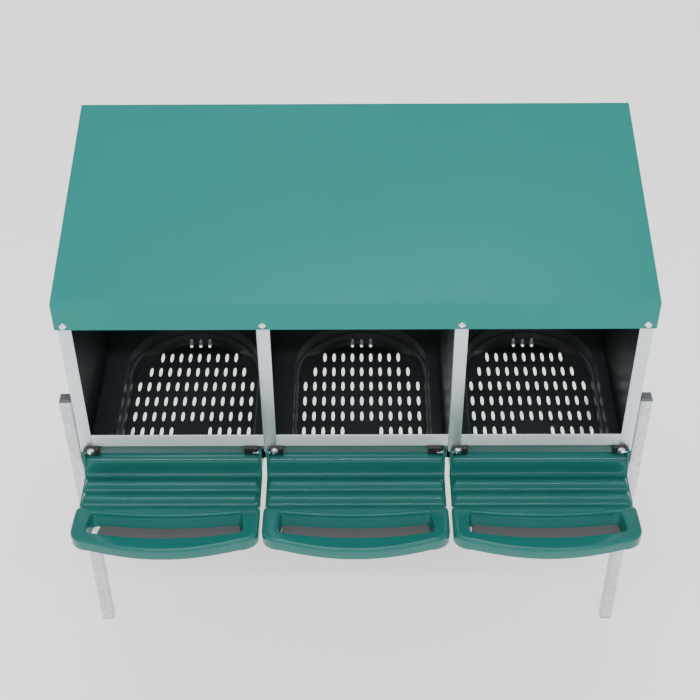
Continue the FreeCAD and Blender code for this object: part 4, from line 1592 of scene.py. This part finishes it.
# ---------------------------------------------------------------------------------------------------------
# Perches
# ---------------------------------------------------------------------------------------------------------
@dataclass
class Perch:
    """Moulded flap: tall first wave, two low ridges, and a platform with a walled grip slot."""
    bay: Bay
    half: float = 146.3
    platform_half: float = 147.7
    wall: float = 2.6
    back: float = 2.4
    front: float = -196.0
    bow: float = 17.0
    corner: float = 30.0
    grip_half: float = 124.0
    grip_flare: float = 5.0
    grip_corner: float = 11.0
    grip_points: int = 200
    ridge_gap: float = 4.5
    ridge_nose: float = 6.0
    tread_gap: float = 10.0
    pivot: Flat = (-5.0, 450.0)

    FIRST_WAVE = (
        (4.0, 443.2), (0.0, 442.2), (-4.0, 440.8), (-8.0, 438.6), (-11.0, 435.8), (-12.8, 432.4),
        (-13.6, 428.6), (-14.4, 418.5), (-15.6, 414.2), (-17.8, 412.0), (-21.5, 410.8), (-24.5, 410.8),
    )
    SECOND_WAVE = (
        (-27.0, 411.9), (-31.0, 414.9), (-36.0, 418.4), (-40.0, 420.2), (-43.5, 420.6), (-46.4, 419.4),
        (-48.6, 416.6), (-50.4, 413.3), (-52.4, 411.4), (-54.5, 410.9),
    )
    THIRD_WAVE = (
        (-57.5, 412.2), (-62.0, 415.4), (-67.5, 418.8), (-71.5, 420.4), (-75.5, 420.6), (-78.4, 419.3),
        (-80.4, 416.2), (-82.0, 413.2), (-84.2, 411.4), (-86.4, 411.1),
    )
    PLATFORM = (
        (-90.0, 413.0), (-95.0, 417.8), (-99.0, 420.9), (-103.0, 422.4), (-112.0, 424.0), (-130.0, 426.8),
        (-150.0, 429.0), (-170.0, 430.6), (-190.0, 431.2), (-210.0, 431.2),
    )
    VALLEY_Z = 411.3
    RIDGED = (-90.0, -22.0)
    PLATFORM_Y = -100.0
    SLOT_Y = -135.0
    SAMPLE = 0.25
    BLUR = 0.8

    def __post_init__(self) -> None:
        """Samples the profile and smooths it."""
        points = np.array(self.FIRST_WAVE + self.SECOND_WAVE + self.THIRD_WAVE + self.PLATFORM)[::-1]
        self._ys = np.arange(points[0, 0], points[-1, 0], self.SAMPLE)
        kernel = np.exp(-0.5 * (np.arange(-12, 13) * self.SAMPLE / self.BLUR) ** 2)
        kernel /= kernel.sum()
        heights = np.interp(self._ys, points[:, 0], points[:, 1])
        self._zs = averaged(heights, kernel)
        ridged = (self._ys < self.SECOND_WAVE[0][0] + 2) & (self._ys > self.THIRD_WAVE[-1][0])
        flat = np.where(ridged, np.minimum(heights, self.VALLEY_Z), heights)
        self._flat = averaged(flat, kernel)

    @property
    def middle(self) -> float:
        """Middle of the perch across the box."""
        return self.bay.middle

    def height(self, x: float, y: float) -> float:
        """Height of the upper skin.

        Args:
            x: Distance from the perch's middle.
            y: Depth, negative in front of the posts.

        Returns:
            The height above the ground.
        """
        z = float(np.interp(y, self._ys, self._zs))
        if self.RIDGED[0] < y < self.RIDGED[1]:
            inset = self.half - abs(x)
            fade = min(1.0, max(0.0, (inset - self.ridge_gap) / self.ridge_nose))
            weight = math.sqrt(fade * (2.0 - fade))
            low = float(np.interp(y, self._ys, self._flat))
            z = low + (z - low) * weight
        if y < self.PLATFORM_Y:
            fall = min(1.0, (self.PLATFORM_Y - y) / 25.0)
            z += fall * 0.8 * min(1.0, abs(x) / 140.0) ** 2
        return z

    def _outline(self, step: float = 2.6) -> list[Flat]:
        """Outline in plan, from the back left corner round the front to the back right one.

        Args:
            step: Distance between points.

        Returns:
            The closed outline.
        """
        back = self.back
        left = [(-self.half, back), (-self.half, -92.0), (-self.platform_half, -106.0)]
        x_turn = self.platform_half - self.corner
        y_turn = self.front + self.bow * (x_turn / 110.0) ** 2
        reach = self.corner * 0.86
        left.append((-self.platform_half, y_turn + reach))
        path = [Vector(p) for p in left]
        for i in range(1, 12):
            a = math.radians(180 + 90 * i / 12)
            path.append(Vector((-x_turn + self.corner * math.cos(a), y_turn + reach + reach * math.sin(a))))
        for x in np.linspace(-x_turn, 0.0, 40):
            path.append(Vector((x, self.front + self.bow * (x / 110.0) ** 2)))
        path += [Vector((-p.x, p.y)) for p in reversed(path[:-1])]
        dense = []
        for a, b in zip(path, path[1:]):
            count = max(1, int((b - a).length / 0.5))
            dense += [a.lerp(b, i / count) for i in range(count)]
        dense.append(path[-1])
        spots = np.array([tuple(p) for p in dense])
        kernel = np.ones(13) / 13.0
        for axis in (0, 1):
            spots[:, axis] = averaged(spots[:, axis], kernel)
        spots[0], spots[-1] = tuple(path[0]), tuple(path[-1])
        lengths = travelled(spots)
        front_part = stations(spots, np.linspace(0, lengths[-1], int(lengths[-1] / step)))
        r = 2.5
        back_part = arc((self.half - r, back - r), r, 0, 90, 4)
        back_part += [(x, back) for x in np.linspace(self.half - r, -self.half + r, 60)[1:-1]]
        back_part += arc((-self.half + r, back - r), r, 90, 180, 4)
        front_part = [p for p in front_part if p[1] < back - r - 0.6]
        return front_part + back_part

    def _grip(self, lower: bool) -> list[Flat]:
        """Outline of the grip slot.

        Args:
            lower: Whether to give the narrower outline at its foot.

        Returns:
            The closed outline.
        """
        tuck = 3.0 if lower else 0.0
        back, front = (-123.5 if lower else -110.5), (-156.5 if lower else -155.0)
        corners = [(self.grip_half - self.grip_flare - tuck, back), (self.grip_half - tuck, front)]
        path = []
        for x in np.linspace(-corners[0][0], corners[0][0], 61):
            path.append((x, back - 8.8 * (1 - (x / corners[0][0]) ** 2)))
        for x in np.linspace(corners[1][0], -corners[1][0], 61):
            path.append((x, front - 13.0 * (1 - (x / corners[1][0]) ** 2)))
        dense = []
        for a, b in zip(path, path[1:] + path[:1]):
            start, end = Vector(a), Vector(b)
            count = max(1, round((end - start).length))
            dense += [tuple(start.lerp(end, i / count)) for i in range(count)]
        spots = np.array(dense)
        reach = int(self.grip_corner)
        kernel = np.hanning(2 * reach + 3)[1:-1]
        kernel /= kernel.sum()
        for axis in (0, 1):
            spots[:, axis] = averaged(spots[:, axis], kernel, "wrap")
        closed = np.vstack([spots, spots[:1]])
        return stations(closed, np.linspace(0, travelled(closed)[-1], self.grip_points, endpoint=False))

    @staticmethod
    def _normals(loop: Sequence[Flat]) -> list[Vector]:
        """Unit normals that point into a loop.

        Args:
            loop: Closed outline.

        Returns:
            One normal per point.
        """
        count = len(loop)
        following = [*loop[1:], loop[0]]
        area = sum(a[0] * b[1] - b[0] * a[1] for a, b in zip(loop, following))
        turn = 1.0 if area > 0 else -1.0
        normals = []
        for i in range(count):
            along = Vector(following[i]) - Vector(loop[i - 1])
            normals.append(Vector((-along.y, along.x)).normalized() * turn)
        return normals

    def _edge_radius(self, y: float) -> float:
        """Radius of the rounding along the outline, small at the back edge."""
        return 1.2 + 4.3 * min(1.0, max(0.0, (-1.0 - y) / 8.0))

    def _foot(self, x: float, y: float) -> float:
        """Height of the skirt's lower edge.

        Args:
            x: Distance from the perch's middle.
            y: Depth.

        Returns:
            The height above the ground.
        """
        if y > -98.0:
            low = 401.0
            weight = min(1.0, max(0.0, (y + 12.0) / 9.0))
            return low + (440.0 - low) * weight
        return min(self.height(x, y) - 21.0, 401.0 + (-98.0 - y) * 0.105)

    def _skin(self) -> Draft:
        """Upper skin with its rounded edges, skirts and the walls of the slot."""
        outline = self._outline()
        inward = self._normals(outline)
        draft = Draft()
        rings = []
        steps = 6
        for step in range(steps + 1):
            a = math.radians(90 * step / steps)
            ring = []
            for (x, y), n in zip(outline, inward):
                r = self._edge_radius(y)
                px, py = x + n.x * r * (1 - math.sin(a)), y + n.y * r * (1 - math.sin(a))
                ring.append((px, py, self.height(px, py) - r * (1 - math.cos(a))))
            rings.append(ring)
        for part in (0.5, 1.0):
            ring = []
            for (x, y), (_, _, z) in zip(outline, rings[steps]):
                foot = min(self._foot(x, y), z - 0.4)
                ring.append((x, y, z + (foot - z) * part))
            rings.append(ring)
        upper, lower = self._grip(False), self._grip(True)
        out = self._normals(upper)
        radius = 3.0
        slot = []
        for step in range(steps):
            a = math.radians(90 * step / (steps - 1))
            slot.append([(x - n.x * radius * (1 - math.sin(a)), y - n.y * radius * (1 - math.sin(a)),
                          self.height(x, y) - radius * (1 - math.cos(a))) for (x, y), n in zip(upper, out)])
        for part in (0.35, 0.7, 1.0):
            ring = []
            for (x, y), (u, v), (_, _, z) in zip(upper, lower, slot[steps - 1]):
                foot = self.height(x, self.SLOT_Y) - 20.0 + (self.SLOT_Y - y) * 0.09
                ring.append((x + (u - x) * part, y + (v - y) * part, z + (foot - z) * part))
            slot.append(ring)
        self._fill(draft, rings[0], slot[0])
        draft.loft(rings)
        draft.loft(slot)
        return draft

    def _fill(self, draft: Draft, border: list[Point], hole: list[Point]) -> None:
        """Fills the upper skin between its border and the slot.

        Args:
            draft: Draft to add to.
            border: Inner ring of the rounded outline.
            hole: Outer ring of the slot's rounding.
        """
        rim, gap = np.array(border)[:, :2], np.array(hole)[:, :2]
        spots = [(x, y) for y in np.arange(-100.0, 1.0, 1.25) for x in self._columns()]
        spots += [(x, y) for y in np.arange(-193.0, -101.0, 3.5) for x in np.arange(-142.0, 142.1, 4.0)]
        spots = np.array(spots)
        keep = inside(rim, spots) & ~inside(gap, spots)
        keep &= clearance(rim, spots) > 0.9
        keep &= clearance(gap, spots) > 1.6
        spots = spots[keep]
        points = [Vector(p) for p in np.vstack([rim, gap, spots])]
        edges = [(i, (i + 1) % len(rim)) for i in range(len(rim))]
        edges += [(len(rim) + i, len(rim) + (i + 1) % len(gap)) for i in range(len(gap))]
        verts, _, faces, *_ = delaunay_2d_cdt(points, edges, [], 1, 1e-5)
        flat = np.array([tuple(v) for v in verts])
        exact = {(round(p[0], 3), round(p[1], 3)): p[2] for p in border + hole}
        start = len(draft.points)
        for x, y in flat:
            z = exact.get((round(x, 3), round(y, 3)))
            draft.points.append((x, y, self.height(x, y) if z is None else z))
        middles = np.array([flat[list(face)].mean(axis=0) for face in faces])
        solid = inside(rim, middles) & ~inside(gap, middles)
        draft.faces += [tuple(start + i for i in face) for face, good in zip(faces, solid) if good]

    @staticmethod
    def _columns() -> list[float]:
        """Places of the skin's inner points across the waves, close together where the ridges end."""
        half = list(np.arange(0.0, 126.0, 6.0)) + list(np.arange(127.5, 142.0, 1.3))
        return sorted([-x for x in half if x > 0] + half)

    def _ears(self, palette: Palette) -> list[bpy.types.Object]:
        """Hinge ears with their heels.

        Args:
            palette: The object's finishes.

        Returns:
            The two ears.
        """
        y0, z0 = self.pivot
        ears = []
        for side in (-1, 1):
            head = arc((y0, z0), 4.5, 0, 180, 18)
            outline = head + [(-13.0, 434.5), (-14.2, 429.0), (-14.2, 412.0), (6.7, 412.0), (6.7, 424.0),
                              (-1.2, 436.0)]
            ends = sorted((self.middle + side * 141.0, self.middle + side * 146.0))
            draft = Draft()
            draft.extrude(outline, *ends)
            ear = draft.build("ear", palette.perch)
            bevel(ear, 0.7, 3, 50.0)
            hole = Draft()
            ring = arc((y0, z0), 2.05, 0, 345, 23)
            hole.extrude(ring, ends[0] - 1, ends[1] + 1)
            ears.append(carve(ear, hole))
        return ears

    def build(self, palette: Palette) -> None:
        """Makes the perch and the strip at the foot of its slot.

        Args:
            palette: The object's finishes.
        """
        draft = self._skin()
        draft.points = [(x + self.middle, y, z) for x, y, z in draft.points]
        obj = draft.build("perch_skin", palette.perch, outward=False, merge=0.02)
        face_up(obj, lambda face: face.calc_center_median().z)
        thicken(obj, self.wall, sharp=48.0)
        name = self.bay.value + "_perch"
        whole = merge_pieces(name + "_moulding", [obj] + self._ears(palette))
        smooth(whole.data, 48.0)
        hand_over(whole, Body(self.bay.value + "_perch_flap"), Slot.PERCH, name)
        self._tread(palette)

    def _tread(self, palette: Palette) -> None:
        """Makes the dark strip across the foot of the slot.

        Args:
            palette: The object's finishes.
        """
        short = self.tread_gap if self.bay is Bay.LEFT else 0.5
        lower = self._grip(True)
        normals = self._normals(lower)
        reach = max(x for x, _ in lower)
        squeeze = 1.0 - short / (2 * reach)
        rings = []
        for drop, shrink in ((0.0, 0.9), (0.25, 0.3), (0.9, 0.0), (2.6, 0.0), (3.0, 0.5)):
            ring = []
            for (x, y), n in zip(lower, normals):
                px = (x + n.x * (0.15 + shrink)) * squeeze + short / 2
                py = y + n.y * (0.15 + shrink)
                z = self.height(0.0, self.SLOT_Y) - 17.2 + (self.SLOT_Y - py) * 0.09 - drop
                ring.append((px + self.middle, py, z))
            rings.append(ring)
        draft = Draft()
        draft.loft(rings, caps=True)
        name = self.bay.value + "_tread_strip"
        obj = draft.build(name + "_pad", palette.tread)
        hand_over(obj, Body(self.bay.value + "_perch_flap"), Slot.TREAD, name)


def averaged(values: np.ndarray, kernel: np.ndarray, ends: str = "edge") -> np.ndarray:
    """Running average of a row of values.

    Args:
        values: The values.
        kernel: Weights, an odd number of them.
        ends: "edge" to repeat the end values, "wrap" for a closed row.

    Returns:
        As many averages as values.
    """
    return np.convolve(np.pad(values, len(kernel) // 2, mode=ends), kernel, mode="valid")


def travelled(path: np.ndarray) -> np.ndarray:
    """Distance along a path at each of its points."""
    return np.concatenate([[0], np.cumsum(np.hypot(*np.diff(path, axis=0).T))])


def stations(path: np.ndarray, distances: np.ndarray) -> list[Flat]:
    """Points of a path at given distances along it."""
    lengths = travelled(path)
    return list(zip(*(np.interp(distances, lengths, path[:, axis]) for axis in (0, 1))))


def inside(loop: np.ndarray, spots: np.ndarray) -> np.ndarray:
    """Which points lie inside a loop.

    Args:
        loop: Closed outline.
        spots: Points to test.

    Returns:
        True for each point inside.
    """
    x, y = spots[:, 0], spots[:, 1]
    result = np.zeros(len(spots), dtype=bool)
    for (x0, y0), (x1, y1) in zip(loop, np.roll(loop, -1, axis=0)):
        if y0 == y1:
            continue
        crosses = (y0 > y) != (y1 > y)
        result ^= crosses & (x < (x1 - x0) * (y - y0) / (y1 - y0) + x0)
    return result


def clearance(loop: np.ndarray, spots: np.ndarray) -> np.ndarray:
    """Distance of each point from a loop's points.

    Args:
        loop: Closed outline.
        spots: Points to test.

    Returns:
        The distances.
    """
    gaps = spots[:, None, :2] - loop[None, :, :2]
    return np.min(np.hypot(gaps[..., 0], gaps[..., 1]), axis=1)


@dataclass
class Hinges:
    """Black blocks under the sill and the pins on which the perches turn."""
    outer: float = 140.0
    width: float = 22.0
    pivot: Flat = (-5.0, 450.0)
    pin: float = 2.0
    pin_length: float = 14.0
    pin_start: float = 8.0
    foot_z: float = 446.0
    hook_z: float = 458.3
    top_z: float = 461.0
    hook_y: float = 0.8
    back_y: float = 7.0
    left_front_y: float = -8.0
    right_front_y: float = -6.5

    def _outline(self, front: float) -> list[Flat]:
        """Outline of a block in depth and height.

        Args:
            front: Depth of its front face.

        Returns:
            The closed outline.
        """
        return [(front, self.foot_z), (self.back_y, self.foot_z), (self.back_y, self.hook_z),
                (self.hook_y, self.hook_z), (self.hook_y, self.top_z), (front, self.top_z)]

    def build(self, palette: Palette) -> None:
        """Makes the six blocks and the pins.

        Args:
            palette: The object's finishes.
        """
        pins = []
        for bay in Bay:
            for label, side, front in (("left", -1, self.left_front_y), ("right", 1, self.right_front_y)):
                ends = (bay.middle + side * self.outer, bay.middle + side * (self.outer - self.width))
                draft = Draft()
                draft.extrude(self._outline(front), min(ends), max(ends))
                name = f"{bay.value}_perch_{label}_hinge_block"
                block = draft.build(name + "_moulding", palette.block)
                bevel(block, 1.4, 4)
                hand_over(block, Body.BOX, Slot.BLOCK, name)
                start = bay.middle + side * (self.outer - self.pin_start)
                pins.append(sorted((start, start + side * self.pin_length)))
        draft = Draft()
        for low, high in pins:
            rings = []
            for x, r in ((low, 1.5), (low + 0.5, self.pin), (high - 0.5, self.pin), (high, 1.5)):
                rings.append([(x, y, z) for y, z in arc(self.pivot, r, 0, 345, 23)])
            draft.loft(rings, caps=True)
        hand_over(draft.build("hinge_pin_set", palette.fastener), Body.BOX, Slot.FASTENER, "hinge_pins")


# ---------------------------------------------------------------------------------------------------------
# Legs and fasteners
# ---------------------------------------------------------------------------------------------------------
@dataclass
class Leg:
    """Square tube with a chamfered cap and a foot plug."""
    label: str
    x: float
    y: float
    side: float = 20.0
    round: float = 2.0
    top: float = 558.5
    rim: float = 2.0
    cap: float = 4.5
    wall: float = 1.2
    spigot: float = 14.0

    def _square(self, half: float, radius: float) -> list[Flat]:
        """Rounded square round the leg's middle.

        Args:
            half: Half its side.
            radius: Radius of its corners.

        Returns:
            The closed outline.
        """
        inner = half - radius
        outline = []
        for start, sx, sy in ((0, 1, 1), (90, -1, 1), (180, -1, -1), (270, 1, -1)):
            outline += arc((self.x + sx * inner, self.y + sy * inner), radius, start, start + 90, 5)
        return outline

    def _stack(self, levels: Sequence[tuple[float, float, float]]) -> Draft:
        """Closed shape through rounded squares.

        Args:
            levels: Half side, corner radius and height of each square.

        Returns:
            The draft.
        """
        draft = Draft()
        rings = [[(x, y, z) for x, y in self._square(half, radius)] for half, radius, z in levels]
        draft.loft(rings, caps=True)
        return draft

    def build(self, palette: Palette) -> None:
        """Makes the tube, its cap and its foot plug.

        Args:
            palette: The object's finishes.
        """
        half, r = self.side / 2, self.round
        levels = [(half - 0.3, r - 0.2, self.rim), (half, r, self.rim + 0.3)]
        levels += [(half, r, z) for z in (200.0, 400.0)]
        levels += [(half, r, self.top - 0.3), (half - 0.3, r - 0.2, self.top)]
        tube = self._stack(levels).build(self.label + "_leg_tube", palette.leg)
        hand_over(tube, Body.BOX, Slot.LEG, self.label + "_leg")
        top = self.top
        bore = (half - self.wall, 1.2)
        levels = [(*bore, top - self.spigot), (*bore, top), (half - 0.2, 1.6, top), (half, 1.8, top + 0.4),
                  (half, 1.8, top + 1.6), (half - 0.3, 1.7, top + 2.1),
                  (half - 2.4, 1.4, top + self.cap - 0.4), (half - 3.2, 1.2, top + self.cap)]
        cap = self._stack(levels).build(self.label + "_leg_cap_moulding", palette.plug, sharp=50.0)
        hand_over(cap, Body.BOX, Slot.PLUG, self.label + "_leg_cap")
        levels = [(half - 0.6, 1.4, 0.0), (half, 1.8, 0.6), (half, 1.8, self.rim), (*bore, self.rim),
                  (*bore, self.rim + self.spigot)]
        plug = self._stack(levels).build(self.label + "_foot_plug_moulding", palette.plug, sharp=50.0)
        hand_over(plug, Body.BOX, Slot.PLUG, self.label + "_foot_plug")


@dataclass
class Fastenings:
    """Every screw, bolt, nut and rivet of the box."""
    casing: Casing
    rail_xs: tuple[float, ...] = (-431.0, -132.0, 166.0, 431.0)
    rail_z: float = 455.8
    rivet_xs: tuple[float, ...] = (-400.0, -200.0, 0.0, 200.0, 400.0)
    leg_ys: Flat = (10.0, 390.0)
    leg_zs: Flat = (470.0, 532.0)

    def build(self, palette: Palette) -> None:
        """Makes the groups of fasteners.

        Args:
            palette: The object's finishes.
        """
        c, kit = self.casing, FastenerKit(palette)
        front, rear = (0.0, -1.0, 0.0), (0.0, 1.0, 0.0)
        left, right = (-1.0, 0.0, 0.0), (1.0, 0.0, 0.0)
        head = {"Head Radius": 0.0060, "Head Height": 0.0030, "Shank Radius": 0.0020}
        kit.set("front_roof_screw_set", kit.crossed,
                [((c.screw_x(i), c.roof_front, c.screw_z), front) for i in range(4)],
                {**head, "Shank Length": 0.010}, "front_roof_screws")
        kit.set("rear_roof_screw_set", kit.crossed,
                [((c.screw_x(i), c.roof_back, c.roof_back_z - 16.0), rear) for i in range(4)],
                {**head, "Head Height": 0.0026, "Shank Length": 0.018}, "rear_roof_screws")
        kit.set("rail_bolt_set", kit.domed, [((x, -8.0, self.rail_z), front) for x in self.rail_xs],
                {"Head Radius": 0.0066, "Head Height": 0.0040, "Shank Radius": 0.0022, "Shank Length": 0.021},
                "rail_bolts")
        kit.set("rail_nut_set", kit.nut, [((x, 8.0, self.rail_z), rear) for x in self.rail_xs],
                {"Corner Radius": 0.0046, "Height": 0.004, "Bore": 0.0022}, "rail_nuts")
        legs = [(y, z) for y in self.leg_ys for z in self.leg_zs]
        outside = [((-470.0, y, z), left) for y, z in legs] + [((470.0, y, z), right) for y, z in legs]
        inner = [((-449.0, y, z), right) for y, z in legs] + [((449.0, y, z), left) for y, z in legs]
        kit.set("leg_bolt_set", kit.domed, outside,
                {"Head Radius": 0.0065, "Head Height": 0.0035, "Shank Radius": 0.0030, "Shank Length": 0.027},
                "leg_bolts")
        kit.set("leg_nut_set", kit.nut, inner,
                {"Corner Radius": 0.0058, "Height": 0.005, "Bore": 0.003}, "leg_nuts")
        kit.set("back_rivet_set", kit.domed, [((x, c.depth, c.foot_z + 12.0), rear) for x in self.rivet_xs],
                {"Head Radius": 0.0040, "Head Height": 0.0014, "Shank Radius": 0.0020,
                 "Shank Length": 0.0035}, "back_rivets")


# ---------------------------------------------------------------------------------------------------------
# Studio
# ---------------------------------------------------------------------------------------------------------
@dataclass(frozen=True)
class Lamp:
    """Soft rectangular lamp: its place, what it shines at and its size in metres, and its watts."""
    name: str
    where: Point
    aim: Point
    size: Flat
    power: float

    def hang(self) -> None:
        """Adds the lamp to the scene."""
        data = bpy.data.lights.new(self.name, "AREA")
        data.shape, data.energy = "RECTANGLE", self.power
        data.size, data.size_y = self.size
        lamp = bpy.data.objects.new(self.name, data)
        lamp.location = self.where
        lamp.rotation_euler = (Vector(self.aim) - Vector(self.where)).to_track_quat("-Z", "Y").to_euler()
        bpy.context.scene.collection.objects.link(lamp)


@dataclass
class Studio:
    """Pale floor, soft light and the camera."""
    lamps: tuple[Lamp, ...] = (
        Lamp("key", (-0.1, 0.25, 3.2), (0.0, 0.0, 0.5), (1.8, 1.1), 34.0),
        Lamp("strip", (0.0, -1.75, 2.46), (0.0, -0.15, 0.42), (3.2, 0.10), 34.0),
        Lamp("front", (0.0, -3.0, 1.0), (0.0, 0.0, 0.45), (3.0, 0.4), 9.0),
    )
    sky: float = 0.7
    floor_half: float = 9000.0
    floor_depth: float = 20.0
    sensor: float = 36.0
    sight: float = 50.0
    focal: float = 72.03
    eye: Point = (5.66, -1584.0, 2108.8)
    yaw: float = -0.493
    pitch: float = 42.237
    roll: float = 0.496

    def _camera(self) -> None:
        """Places the camera."""
        yaw, pitch, roll = (math.radians(v) for v in (self.yaw, self.pitch, self.roll))
        reach = math.cos(pitch)
        forward = Vector((math.sin(yaw) * reach, math.cos(yaw) * reach, -math.sin(pitch)))
        level = Vector((math.cos(yaw), -math.sin(yaw), 0.0))
        down = forward.cross(level)
        right = level * math.cos(roll) + down * math.sin(roll)
        below = -level * math.sin(roll) + down * math.cos(roll)
        data = bpy.data.cameras.new("camera")
        data.lens, data.sensor_width = self.focal, self.sensor
        data.clip_end = self.sight
        camera = bpy.data.objects.new("camera", data)
        turn = Matrix((right, -below, -forward)).transposed().to_4x4()
        camera.matrix_world = Matrix.Translation(place(*self.eye)) @ turn
        bpy.context.scene.collection.objects.link(camera)
        bpy.context.scene.camera = camera

    def build(self, palette: Palette) -> None:
        """Sets up the floor, lamps, surroundings and camera.

        Args:
            palette: The object's finishes.
        """
        draft = Draft()
        half = self.floor_half
        draft.block((-half, -half, -self.floor_depth), (half, half, 0.0))
        floor = draft.build("studio_floor", palette.floor)
        world = bpy.data.worlds.new("studio")
        world.use_nodes = True
        background = world.node_tree.nodes["Background"]
        background.inputs["Color"].default_value = (1.0, 1.0, 1.0, 1.0)
        background.inputs["Strength"].default_value = self.sky
        bpy.context.scene.world = world
        for lamp in self.lamps:
            lamp.hang()
        self._camera()


def main() -> None:
    """Builds the nesting box in order, then the studio."""
    logging.basicConfig(level=logging.INFO, format="%(name)s %(message)s")
    palette = Palette()
    Studio().build(palette)
    casing = Casing()
    Roof(casing).build(palette)
    Uprights(casing).build(palette)
    Rails(casing).build(palette)
    slots = NestPan.perforation_tree()
    for bay in Bay:
        NestPan(bay).build(palette, slots)
        Perch(bay).build(palette)
    Hinges().build(palette)
    for row, y in (("front", 10.0), ("rear", 390.0)):
        for side, x in (("left", -460.0), ("right", 460.0)):
            Leg(f"{row}_{side}", x, y).build(palette)
    Fastenings(casing).build(palette)


if __name__ == "__main__":
    main()
